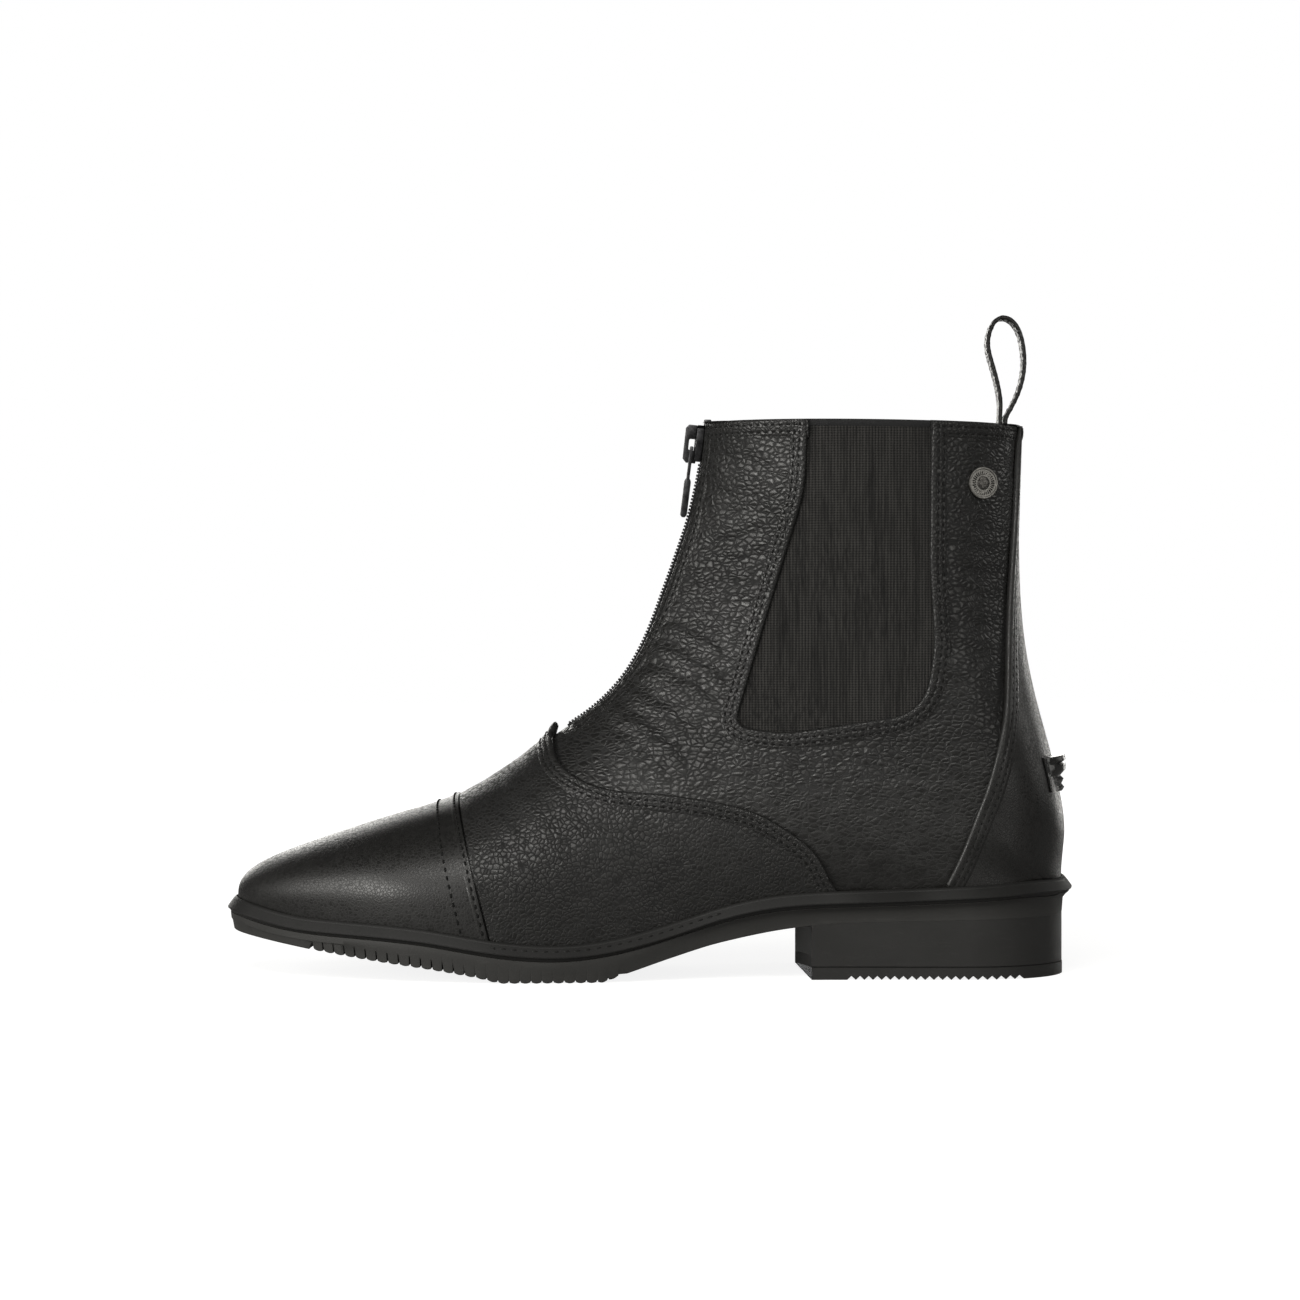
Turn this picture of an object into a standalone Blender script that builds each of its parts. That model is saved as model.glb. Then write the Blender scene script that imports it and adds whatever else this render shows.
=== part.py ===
"""Front-zip riding boot, left foot: one solid for each piece a maker puts together.

Toe at -X, heel at +X, outer side at -Y, floor at z = 0. Sizes are in millimetres.
"""

from collections import namedtuple

import bmesh
import bpy
import numpy as np
from mathutils import Matrix, Vector

MM = 0.001
GAP = 0.3
OVERLAY_GAP = 0.55

# Upper
WALL = 2.2
LAST_MARGIN = 5.2
VAMP_THICKNESS = 1.0
TOE_CAP_THICKNESS = 1.6
STRAP_THICKNESS = 1.0
THROAT_TAB_RISE = 3.0
THROAT_TAB_HALF_WIDTH = 9.0
TOE_CAP_EDGE = 7.0
THROAT = 9.0
HEEL_CORNER = 16.0
COLLAR = 25.0
TOE_START = 0.2
LOWER_SHARE_FOOT = 0.24
LOWER_SHARE_SHAFT = 0.46

# Elastic gores
GORE_RECESS = 0.9
GORE_THICKNESS = 1.1

# Zip
ZIP_SLIT_START = 9.35
ZIP_SLIT_HALF = 3.6
TAPE_RECESS = 0.7
TAPE_THICKNESS = 1.0
CHAIN_HALF = 2.0
CHAIN_RISE = 0.9
CHAIN_BOTTOM = -0.35
SLIDER_HEIGHT = 181.3
SLIDER_HALF_LENGTH = 6.2
SLIDER_HALF_WIDTH = 4.4
SLIDER_BACK = 0.4
SLIDER_FRONT = 2.9
BRIDGE_FRONT = 6.9
BRIDGE_HALF_WIDTH = 1.2
PULL_AXIS_X = 14.3
PULL_AXIS_Z = 179.8
PULL_LEAN = np.radians(7.0)
PULL_BAR_RADIUS = 0.65
PULL_ARM_THICKNESS = 1.2
PULL_ARM_LENGTH = 11.0
PULL_END_LENGTH = 12.8
PULL_END_THICKNESS = 2.4
PULL_HALF_WIDTH = 3.0

# Sole
TOE_TIP_X = -139.4
HEEL_BACK_X = 138.6
HEEL_RADIUS = 31.5
TOE_ROUND_START_X = -70.0
TOE_ROUND_POWER = 2.1
WELT_REACH = 6.4
WELT_EDGE_DROP = 3.8
WELT_LIP = 0.7
WELT_UNDERCUT = 0.9
HEEL_REACH = 2.9
OUTSOLE_REACH_TOP = 5.4
OUTSOLE_REACH_BOTTOM = 4.2
WAIST_FRONT_X = -8.0
WAIST_BACK_X = 34.0
TREAD_FRONT_X = -111.0
TREAD_BACK_X = -11.0
TREAD_PITCH = 3.6
TREAD_DEPTH = 1.4
TREAD_LENGTH = 4.0
HEEL_BREAST_X = 54.0
HEEL_BREAST_SKEW = 2.6
HEEL_BREAST_HOLLOW = 5.0
TOP_PIECE_THICKNESS = 4.2
TOP_PIECE_TOOTH_FRONT_X = 66.0
TOP_PIECE_TOOTH_BACK_X = 124.0
TOP_PIECE_PITCH = 2.9
TOP_PIECE_TOOTH_DEPTH = 1.3
TOP_PIECE_TOOTH_LENGTH = 3.0
INSOLE_THICKNESS = 3.0
INSOLE_CLEAR = 0.9
TOE_RISE_SLOPE = 0.2
TOE_LIP_RISE = 1.1
TOE_LIP_LENGTH = 26.0
FEATHER_CLEAR = 0.1
WELT_CLEAR = 0.55

# Small pieces
LOOP_WIDTH = 9.0
LOOP_THICKNESS = 1.4
BUTTON_X = 112.9
BUTTON_Z = 166.7
BUTTON_RADIUS = 5.4
BUTTON_HEIGHT = 1.9
SPUR_REST_SPREAD = np.radians(52.0)
SPUR_REST_CURVE = 24.0
SPUR_REST_CLEAR = 0.2

# One row a section of the upper, from the toe's tip to the collar. A section is a plane seen from the
# side as the line from its base, on the sole or up the heel's back, to its ridge, on the front outline.
# lateral and medial: how far the wall bulges past the last's outline; widest: where, from base to ridge;
# crown: how square the shoulders are.
Section = namedtuple(
    "Section", "ridge_x ridge_z base_x base_z ridge_y lateral medial widest crown"
)
SECTIONS = [
    Section(-139.4, 19.6, -139.4, 19.6, 5.2, 0.0, 0.0, 0.42, 2.20),
    Section(-140.2, 27.6, -137.8, 19.2, 5.1, 0.2, 0.2, 0.42, 2.20),
    Section(-137.2, 33.0, -132.5, 18.0, 4.9, 0.4, 0.4, 0.41, 2.20),
    Section(-129.5, 37.5, -123.5, 16.4, 4.6, 0.6, 0.6, 0.40, 2.25),
    Section(-118.0, 42.0, -110.5, 15.1, 4.1, 0.9, 0.9, 0.39, 2.25),
    Section(-101.5, 47.6, -92.5, 14.1, 3.6, 1.2, 1.2, 0.37, 2.25),
    Section(-84.0, 53.1, -73.0, 12.2, 3.0, 1.4, 1.4, 0.36, 2.20),
    Section(-66.8, 58.8, -54.0, 9.1, 2.5, 1.5, 1.5, 0.35, 2.15),
    Section(-47.6, 70.0, -31.0, 7.3, 2.0, 1.5, 1.6, 0.33, 2.10),
    Section(-33.1, 80.9, -8.0, 10.2, 1.5, 1.7, 2.4, 0.30, 2.05),
    Section(-21.8, 88.6, 14.0, 16.5, 1.0, 2.3, 4.2, 0.28, 2.00),
    Section(-12.8, 96.6, 38.0, 22.6, 0.6, 3.0, 4.8, 0.27, 2.00),
    Section(-6.7, 104.5, 64.0, 24.5, 0.3, 3.2, 4.0, 0.26, 2.00),
    Section(-2.5, 112.0, 92.0, 25.5, 0.1, 2.8, 3.0, 0.25, 2.00),
    Section(0.6, 119.0, 114.0, 26.6, 0.0, 2.0, 2.0, 0.235, 2.00),
    Section(3.1, 125.6, 130.0, 27.6, 0.0, 1.4, 1.4, 0.22, 2.00),
    Section(5.4, 132.0, 138.6, 28.2, 0.0, 1.0, 1.0, 0.21, 2.00),
    Section(7.6, 138.0, 139.8, 34.5, 0.0, 0.9, 0.9, 0.21, 2.00),
    Section(9.7, 144.0, 140.6, 44.0, 0.0, 1.0, 1.0, 0.215, 2.00),
    Section(11.9, 150.3, 140.4, 55.5, 0.0, 1.2, 1.2, 0.23, 2.00),
    Section(14.0, 157.2, 136.2, 75.0, 0.0, 1.6, 1.6, 0.27, 2.00),
    Section(15.8, 164.6, 131.1, 94.0, 0.0, 2.0, 2.0, 0.33, 2.00),
    Section(17.3, 172.0, 127.0, 116.0, 0.0, 2.6, 2.6, 0.39, 2.00),
    Section(18.3, 178.6, 125.5, 140.0, 0.0, 3.0, 3.0, 0.44, 2.00),
    Section(18.9, 184.0, 125.4, 163.5, 0.0, 3.3, 3.3, 0.47, 2.00),
    Section(19.2, 188.3, 126.1, 187.2, 0.0, 3.5, 3.5, 0.50, 2.00),
]

# The last's outline from below: its centre line and half width before toe and heel are rounded off.
Station = namedtuple("Station", "x centre half")
OUTLINE = [
    Station(-139.4, 5.2, 34.0),
    Station(-107.0, 3.4, 39.0),
    Station(-79.0, 1.5, 42.2),
    Station(-57.0, -0.4, 43.0),
    Station(-34.0, -2.6, 40.5),
    Station(-6.0, -4.2, 34.5),
    Station(22.0, -3.6, 30.0),
    Station(56.0, -1.3, 29.8),
    Station(98.0, 0.0, 31.5),
    Station(138.6, 0.0, 31.5),
]

# The sole's underside: toe spring, flat at the ball, arch, then the heel's seat.
Rise = namedtuple("Rise", "x z")
UNDERSIDE = [
    Rise(-145.0, 14.6),
    Rise(-111.0, 9.5),
    Rise(-93.0, 7.0),
    Rise(-74.0, 4.5),
    Rise(-58.0, 1.9),
    Rise(-48.0, 0.0),
    Rise(-17.0, 0.0),
    Rise(-9.0, 2.5),
    Rise(8.0, 8.1),
    Rise(24.0, 12.8),
    Rise(48.0, 17.4),
    Rise(62.0, 18.8),
    Rise(100.0, 19.8),
    Rise(145.0, 20.8),
]

# Seams as seen from the side.
Spot = namedtuple("Spot", "x z")
VAMP_EDGE = [
    Spot(-32.4, 76.4),
    Spot(-30.0, 70.8),
    Spot(-22.1, 65.3),
    Spot(-11.5, 62.5),
    Spot(0.0, 61.8),
    Spot(12.0, 60.5),
    Spot(24.1, 58.5),
    Spot(33.9, 56.0),
    Spot(42.8, 51.6),
    Spot(50.1, 46.7),
    Spot(55.8, 41.1),
    Spot(59.9, 33.6),
]
STRAP_EDGE = [
    Spot(101.0, 31.5),
    Spot(105.6, 42.5),
    Spot(110.6, 55.0),
    Spot(114.5, 66.5),
    Spot(117.6, 82.5),
    Spot(119.4, 96.0),
    Spot(120.6, 119.0),
    Spot(122.2, 140.0),
    Spot(123.4, 158.0),
    Spot(124.3, 176.0),
    Spot(124.9, 187.0),
]

# The gore's opening: corner points with the radius that rounds each.
Corner = namedtuple("Corner", "x z radius")
GORE = [
    Corner(52.9, 196.0, 0.0),
    Corner(51.6, 164.0, 60.0),
    Corner(28.0, 84.6, 5.0),
    Corner(45.0, 82.0, 40.0),
    Corner(92.5, 89.0, 17.0),
    Corner(95.6, 112.0, 40.0),
    Corner(94.2, 140.0, 60.0),
    Corner(94.9, 196.0, 0.0),
]

# Middle line of the pull loop, from its inner end round to its outer end.
PULL_LOOP = [
    Spot(120.0, 172.0),
    Spot(120.2, 189.0),
    Spot(120.3, 196.5),
    Spot(118.6, 205.0),
    Spot(116.5, 212.5),
    Spot(116.3, 218.0),
    Spot(118.2, 222.8),
    Spot(121.2, 224.6),
    Spot(124.6, 223.2),
    Spot(127.3, 218.5),
    Spot(128.5, 211.5),
    Spot(128.2, 205.0),
    Spot(126.2, 198.0),
    Spot(122.9, 191.5),
    Spot(122.0, 187.0),
    Spot(121.7, 172.0),
]

# Spur rest seen from the side: how far each edge stands off the strap.
Rib = namedtuple("Rib", "z stand")
SPUR_REST = [
    Rib(61.9, 0.7),
    Rib(62.8, 1.6),
    Rib(64.2, 0.9),
    Rib(65.6, 2.0),
    Rib(66.9, 1.1),
    Rib(68.6, 3.4),
    Rib(70.3, 3.8),
    Rib(70.9, 2.6),
    Rib(71.7, 4.2),
    Rib(73.2, 4.2),
    Rib(73.6, 0.7),
]


def natural_spline(values):
    """A smooth curve through the values at 0, 1, 2 ..."""
    values = np.asarray(values, float)
    count = len(values)
    matrix = np.eye(count)
    right = np.zeros(count)
    for i in range(1, count - 1):
        matrix[i, i - 1 : i + 2] = (1.0, 4.0, 1.0)
        right[i] = 6.0 * (values[i - 1] - 2.0 * values[i] + values[i + 1])
    bend = np.linalg.solve(matrix, right)

    def curve(at):
        at = np.asarray(at, float)
        i = np.clip(np.floor(at).astype(int), 0, count - 2)
        f = at - i
        g = 1.0 - f
        low = values[i] * g + bend[i] * (g**3 - g) / 6.0
        return low + values[i + 1] * f + bend[i + 1] * (f**3 - f) / 6.0

    return curve


def monotone_curve(xs, ys):
    """A curve through the points that never swings past them."""
    xs = np.asarray(xs, float)
    ys = np.asarray(ys, float)
    step = np.diff(xs)
    slope = np.diff(ys) / step
    tangent = np.zeros(len(xs))
    same = slope[:-1] * slope[1:] > 0
    weight_a = 2.0 * step[1:] + step[:-1]
    weight_b = step[1:] + 2.0 * step[:-1]
    with np.errstate(divide="ignore", invalid="ignore"):
        mean = (weight_a + weight_b) / (weight_a / slope[:-1] + weight_b / slope[1:])
    tangent[1:-1] = np.where(same, mean, 0.0)
    tangent[0] = slope[0]
    tangent[-1] = slope[-1]

    def curve(at):
        at = np.clip(np.asarray(at, float), xs[0], xs[-1])
        i = np.clip(np.searchsorted(xs, at, side="right") - 1, 0, len(step) - 1)
        f = (at - xs[i]) / step[i]
        rise = ys[i] * (1 + 2 * f) * (1 - f) ** 2 + ys[i + 1] * f * f * (3 - 2 * f)
        bend = tangent[i] * f * (1 - f) ** 2 - tangent[i + 1] * f * f * (1 - f)
        return rise + bend * step[i]

    return curve


def smooth_step(low, high, at):
    f = np.clip((np.asarray(at, float) - low) / (high - low), 0.0, 1.0)
    return f * f * (3.0 - 2.0 * f)


COLUMN = {
    name: natural_spline([getattr(row, name) for row in SECTIONS])
    for name in Section._fields
}
centre_of = monotone_curve([r.x for r in OUTLINE], [r.centre for r in OUTLINE])
half_of = monotone_curve([r.x for r in OUTLINE], [r.half for r in OUTLINE])
underside = monotone_curve([r.x for r in UNDERSIDE], [r.z for r in UNDERSIDE])


def toe_rounding(x):
    reach = (TOE_ROUND_START_X - np.asarray(x, float)) / (TOE_ROUND_START_X - TOE_TIP_X)
    reach = np.clip(reach, 0.0, 1.0)
    return np.sqrt(1.0 - reach**TOE_ROUND_POWER)


def heel_rounding(x):
    reach = (np.asarray(x, float) - HEEL_BACK_X + HEEL_RADIUS) / HEEL_RADIUS
    return np.sqrt(1.0 - np.clip(reach, 0.0, 1.0) ** 2)


def section_shape(s, side):
    """Width at the widest place and at the base, and the angle where the base lies."""
    base_x = COLUMN["base_x"](s)
    ridge_y = COLUMN["ridge_y"](s)
    bulge = np.where(side < 0, COLUMN["lateral"](s), COLUMN["medial"](s))
    plan = half_of(base_x) * toe_rounding(base_x)
    lean = side * (centre_of(base_x) - ridge_y)
    width = np.maximum(plan + lean + bulge, 0.05)
    closed = np.where(s >= HEEL_CORNER - 1e-6, 0.0, heel_rounding(base_x))
    base = np.clip((plan * closed + lean * closed) / width, 0.0, 0.994)
    return width, -np.arccos(base)


def lower_share(s):
    """Share of a section's columns that lie below its widest place."""
    return LOWER_SHARE_FOOT + (LOWER_SHARE_SHAFT - LOWER_SHARE_FOOT) * smooth_step(11.0, 22.0, s)


def angle_of(s, t, start):
    share = lower_share(s)
    up = 1.0 - np.abs(t)
    return np.where(up < share, start * (1.0 - up / share), np.pi / 2 * (up - share) / (1.0 - share))


def t_of(s, angle, start, side):
    share = lower_share(s)
    low = share * (1.0 - angle / start)
    high = share + (1.0 - share) * angle / (np.pi / 2)
    return side * (1.0 - np.where(angle < 0, low, high))


def upper_point(s, t):
    """Outside of the quarter: s counts sections, t runs -1 lateral base, 0 ridge, 1 medial base."""
    s, t = np.broadcast_arrays(np.asarray(s, float), np.asarray(t, float))
    side = np.where(t < 0, -1.0, 1.0)
    width, start = section_shape(s, side)
    widest = COLUMN["widest"](s)
    power = 2.0 / COLUMN["crown"](s)
    angle = angle_of(s, t, start)
    sine = np.sin(angle)
    cosine = np.clip(np.cos(angle), 0.0, 1.0)
    above = angle > 0
    climb = np.where(
        above,
        widest + (1.0 - widest) * np.clip(sine, 0.0, 1.0) ** power,
        widest * (1.0 - sine / np.sin(start)),
    )
    reach = width * np.where(above, cosine**power, cosine)
    x = COLUMN["base_x"](s) + (COLUMN["ridge_x"](s) - COLUMN["base_x"](s)) * climb
    z = COLUMN["base_z"](s) + (COLUMN["ridge_z"](s) - COLUMN["base_z"](s)) * climb
    y = COLUMN["ridge_y"](s) + side * reach
    return np.stack([x, y, z], axis=-1)


def upper_normal(s, t):
    s, t = np.broadcast_arrays(np.asarray(s, float), np.asarray(t, float))
    step = 2e-3
    along = upper_point(np.minimum(s + step, COLLAR), t) - upper_point(np.maximum(s - step, 0.05), t)
    across = upper_point(s, np.minimum(t + step, 1.0)) - upper_point(s, np.maximum(t - step, -1.0))
    normal = np.cross(along, across)
    return normal / np.maximum(np.linalg.norm(normal, axis=-1, keepdims=True), 1e-12)


def on_upper(s, t, stand):
    """A point standing off the outside of the quarter; below zero it lies in the wall."""
    stand = np.asarray(stand, float)[..., None]
    return upper_point(s, t) + upper_normal(s, t) * stand


def t_at_width(s, y):
    """t beside the ridge where the wall is y from the middle line; the sign gives the side."""
    s, y = np.broadcast_arrays(np.asarray(s, float), np.asarray(y, float))
    side = np.where(y < 0, -1.0, 1.0)
    width, start = section_shape(s, side)
    ratio = np.clip(np.abs(y) / width, 0.0, 1.0) ** (COLUMN["crown"](s) / 2.0)
    return t_of(s, np.arccos(ratio), start, side)


def locate(x, z, side):
    """The s and t of a place seen from the side."""
    x, z = np.broadcast_arrays(np.asarray(x, float), np.asarray(z, float))
    low = np.full(x.shape, 0.3)
    high = np.full(x.shape, COLLAR)
    for _ in range(45):
        s = (low + high) / 2
        to_ridge_x = COLUMN["ridge_x"](s) - COLUMN["base_x"](s)
        to_ridge_z = COLUMN["ridge_z"](s) - COLUMN["base_z"](s)
        out_x = x - COLUMN["base_x"](s)
        out_z = z - COLUMN["base_z"](s)
        behind = to_ridge_x * out_z - to_ridge_z * out_x < 0
        low = np.where(behind, s, low)
        high = np.where(behind, high, s)
    climb = (out_x * to_ridge_x + out_z * to_ridge_z) / (to_ridge_x**2 + to_ridge_z**2)
    climb = np.clip(climb, 0.0, 1.0)
    widest = COLUMN["widest"](s)
    _, start = section_shape(s, np.full(x.shape, float(side)))
    upper_sine = np.clip((climb - widest) / (1 - widest), 0.0, 1.0) ** (COLUMN["crown"](s) / 2.0)
    lower_sine = (climb / widest - 1.0) * np.sin(-start)
    angle = np.arcsin(np.clip(np.where(climb > widest, upper_sine, lower_sine), -1.0, 1.0))
    return s, t_of(s, angle, start, side)


def located_edge(spots, side=-1):
    """s and t along a smooth seam through the spots."""
    steps = np.linspace(0.0, len(spots) - 1.0, 8 * len(spots))
    x = natural_spline([p.x for p in spots])(steps)
    z = natural_spline([p.z for p in spots])(steps)
    s, t = locate(x, z, side)
    return s, np.abs(t)


def new_material(name, colour, roughness, metallic=0.0):
    material = bpy.data.materials.new(name)
    material.use_nodes = True
    shader = material.node_tree.nodes["Principled BSDF"]
    shader.inputs["Base Color"].default_value = (*colour, 1.0)
    shader.inputs["Roughness"].default_value = roughness
    shader.inputs["Metallic"].default_value = metallic
    return material


def add_object(name, mesh, material=None):
    thing = bpy.data.objects.new(name, mesh)
    bpy.context.scene.collection.objects.link(thing)
    if material is None:
        thing.hide_render = True
        thing.display_type = "WIRE"
    else:
        mesh.materials.append(material)
    return thing


def add_solid(name, points, faces, material=None):
    """A closed mesh from points in millimetres; corners that fall together are joined."""
    mesh = bpy.data.meshes.new(name)
    mesh.from_pydata([tuple(p * MM) for p in np.asarray(points, float)], [], faces)
    work = bmesh.new()
    work.from_mesh(mesh)
    bmesh.ops.remove_doubles(work, verts=work.verts, dist=1e-7)
    loose = [v for v in work.verts if not v.link_faces]
    bmesh.ops.delete(work, geom=loose, context="VERTS")
    bmesh.ops.recalc_face_normals(work, faces=work.faces)
    work.to_mesh(mesh)
    work.free()
    return add_object(name, mesh, material)


def grid_cells(rows, columns, keep=None):
    cells = []
    for i in range(rows - 1):
        for j in range(columns - 1):
            if keep is None or keep(i, j):
                a = i * columns + j
                cells.append((a, a + 1, a + columns + 1, a + columns))
    return cells


def add_shell(name, outer, inner, cells, material=None):
    """A sheet with thickness: two layers of the same cells, walled along every open edge."""
    count = len(outer)
    once = {}
    for cell in cells:
        for a, b in zip(cell, cell[1:] + cell[:1]):
            if a == b:
                continue
            if (b, a) in once:
                del once[(b, a)]
            else:
                once[(a, b)] = True
    faces = []
    for cell in cells:
        ring = tuple(dict.fromkeys(cell))
        faces.append(ring)
        faces.append(tuple(count + v for v in reversed(ring)))
    for a, b in once:
        faces.append((b, a, count + a, count + b))
    return add_solid(name, np.concatenate([outer, inner]), faces, material)


def weld(cells, pairs):
    return [tuple(pairs.get(v, v) for v in cell) for cell in cells]


def boolean(target, operation, tool):
    step = target.modifiers.new(operation.lower(), "BOOLEAN")
    step.operation = operation
    step.solver = "EXACT"
    step.object = tool


def rounded_outline(corners, inset=0.0, arc_steps=5):
    """Points of a closed outline, its corners turned to arcs, moved inwards by the inset."""
    count = len(corners)
    points = []
    for i, corner in enumerate(corners):
        here = np.array([corner.x, corner.z])
        back = np.array([corners[i - 1].x, corners[i - 1].z]) - here
        ahead = np.array([corners[(i + 1) % count].x, corners[(i + 1) % count].z]) - here
        back /= np.linalg.norm(back)
        ahead /= np.linalg.norm(ahead)
        if corner.radius == 0.0:
            points.append(here)
            continue
        half = np.arccos(np.clip(back @ ahead, -1, 1)) / 2
        reach = corner.radius / np.tan(half)
        for step in np.linspace(0.0, 1.0, arc_steps):
            a = here + back * reach * (1 - step) ** 2
            points.append(a + ahead * reach * step**2)
    points = np.array(points)
    along = np.roll(points, -1, axis=0) - np.roll(points, 1, axis=0)
    normal = np.stack([-along[:, 1], along[:, 0]], axis=1)
    normal /= np.linalg.norm(normal, axis=1, keepdims=True)
    return points + normal * inset


def add_prism(name, outline, low_y, high_y, material=None):
    """An outline seen from the side, drawn out across the boot."""
    count = len(outline)
    near = np.column_stack([outline[:, 0], np.full(count, low_y), outline[:, 1]])
    far = np.column_stack([outline[:, 0], np.full(count, high_y), outline[:, 1]])
    faces = [tuple(range(count)), tuple(range(2 * count - 1, count - 1, -1))]
    faces += [(i, (i + 1) % count, count + (i + 1) % count, count + i) for i in range(count)]
    return add_solid(name, np.concatenate([near, far]), faces, material)


TOE_ROWS = [TOE_START, 0.6, 1.0, 1.45, 2.0, 2.7, 3.5, 4.3, 5.2, 6.1, TOE_CAP_EDGE - 0.01]
UPPER_ROWS = np.concatenate(
    [
        TOE_ROWS,
        [7.7, 8.5, ZIP_SLIT_START, 10.0, 10.8, 11.6, 12.4, 13.2, 14.0, 14.6, 15.1, 15.5, 15.8],
        np.linspace(HEEL_CORNER, COLLAR, 13),
    ]
)
PER_SIDE = 12


def upper_grid(rows, per_side):
    """s and t of a grid with a column on each edge of the zip slit and one on the ridge."""
    marks = grid_marks(per_side)
    s = np.repeat(rows[:, None], len(marks), axis=1)
    return s, column_t(s, np.broadcast_to(marks, s.shape))


def grid_marks(per_side):
    share = np.linspace(0.0, 1.0, per_side)
    return np.concatenate([-1.0 - share[::-1], [0.0], 1.0 + share])


def column_t(s, mark):
    """t of a grid column: mark 0 is the ridge, 1 the edge of the zip slit, 2 the base; the sign is the side."""
    side = np.where(mark < 0, -1.0, 1.0)
    slit = np.minimum(np.abs(t_at_width(s, side * ZIP_SLIT_HALF)), 0.35)
    share = np.abs(mark)
    return side * np.where(share <= 1.0, slit * share, slit + (1.0 - slit) * (share - 1.0))


def close_back(points, rows, columns):
    """Both base columns meet on the back seam above the heel's corner."""
    grid = points.reshape(len(rows), columns, 3)
    shut = rows >= HEEL_CORNER - 1e-6
    middle = (grid[shut, 0] + grid[shut, -1]) / 2
    grid[shut, 0] = middle
    grid[shut, -1] = middle
    return grid.reshape(-1, 3)


def build_upper(material):
    rows = UPPER_ROWS
    s, t = upper_grid(rows, PER_SIDE)
    columns = s.shape[1]
    middle = columns // 2
    slit_row = int(np.searchsorted(rows, ZIP_SLIT_START))
    outer = above_sole(close_back(on_upper(s, t, np.zeros(s.shape)), rows, columns))
    inner = above_sole(close_back(on_upper(s, t, np.full(s.shape, -WALL)), rows, columns))
    cells = grid_cells(
        len(rows), columns, lambda i, j: i < slit_row or j not in (middle - 1, middle)
    )
    pairs = {i * columns + columns - 1: i * columns for i, r in enumerate(rows) if r >= HEEL_CORNER - 1e-6}
    upper = add_shell("upper", outer, inner, weld(cells, pairs), material)
    window = add_prism("gore_window", rounded_outline(GORE), -90.0, 90.0)
    boolean(upper, "DIFFERENCE", window)
    return upper


def build_gores(material):
    rows = np.concatenate([[10.4, 11.4, 12.4, 13.2, 14.0, 15.0], np.linspace(HEEL_CORNER, COLLAR, 10)])
    share = np.linspace(0.06, 0.92, 9)
    inset = rounded_outline(GORE, GAP)
    for name, side in (("gore_lateral", -1.0), ("gore_medial", 1.0)):
        s, t = np.meshgrid(rows, side * share, indexing="ij")
        outer = on_upper(s, t, np.full(s.shape, -GORE_RECESS)).reshape(-1, 3)
        inner = on_upper(s, t, np.full(s.shape, -GORE_RECESS - GORE_THICKNESS)).reshape(-1, 3)
        gore = add_shell(name, outer, inner, grid_cells(*s.shape), material)
        frame = add_prism(name + "_outline", inset, min(0.0, side * 90.0), max(0.0, side * 90.0))
        boolean(gore, "INTERSECT", frame)


def vamp_edge_s(t):
    s, edge_t = located_edge(VAMP_EDGE)
    order = np.argsort(edge_t)
    s = np.concatenate([[THROAT], s[order], [s[-1] - 0.1]])
    edge_t = np.concatenate([[0.0], edge_t[order], [1.0]])
    return np.interp(np.abs(t), edge_t, s)


def throat_lift(t, share):
    """The vamp's edge stands up in a small tab where the zip ends."""
    beside = upper_point(np.full(np.shape(t), THROAT), t)[..., 1] - COLUMN["ridge_y"](THROAT)
    near = 1.0 - smooth_step(0.25 * THROAT_TAB_HALF_WIDTH, THROAT_TAB_HALF_WIDTH, np.abs(beside))
    return THROAT_TAB_RISE * near * smooth_step(0.78, 1.0, share)


def build_vamp(material):
    share = np.array([0.0, 0.2, 0.4, 0.6, 0.78, 0.9, 1.0])
    marks = grid_marks(PER_SIDE)
    share, mark = np.meshgrid(share, marks, indexing="ij")
    start = TOE_CAP_EDGE + 0.02
    t = column_t(np.full(share.shape, THROAT), mark)
    s = start + (vamp_edge_s(t) - start) * share
    t = t + (column_t(s, mark) - t) * (1.0 - share)
    lift = throat_lift(t, share)
    inner = above_sole(on_upper(s, t, OVERLAY_GAP + lift).reshape(-1, 3))
    outer = above_sole(on_upper(s, t, OVERLAY_GAP + VAMP_THICKNESS + lift).reshape(-1, 3))
    add_shell("vamp", outer, inner, grid_cells(*s.shape), material)


def build_toe_cap(material):
    s, t = upper_grid(np.array(TOE_ROWS), PER_SIDE)
    inner = above_sole(on_upper(s, t, np.full(s.shape, GAP)).reshape(-1, 3))
    outer = above_sole(on_upper(s, t, np.full(s.shape, GAP + TOE_CAP_THICKNESS)).reshape(-1, 3))
    add_shell("toe_cap", outer, inner, grid_cells(*s.shape), material)


def strap_edge_t(s):
    edge_s, edge_t = located_edge(STRAP_EDGE)
    order = np.argsort(edge_s)
    return np.interp(s, edge_s[order], edge_t[order])


def strap_start():
    edge_s, _ = located_edge(STRAP_EDGE)
    return edge_s.min()


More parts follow.
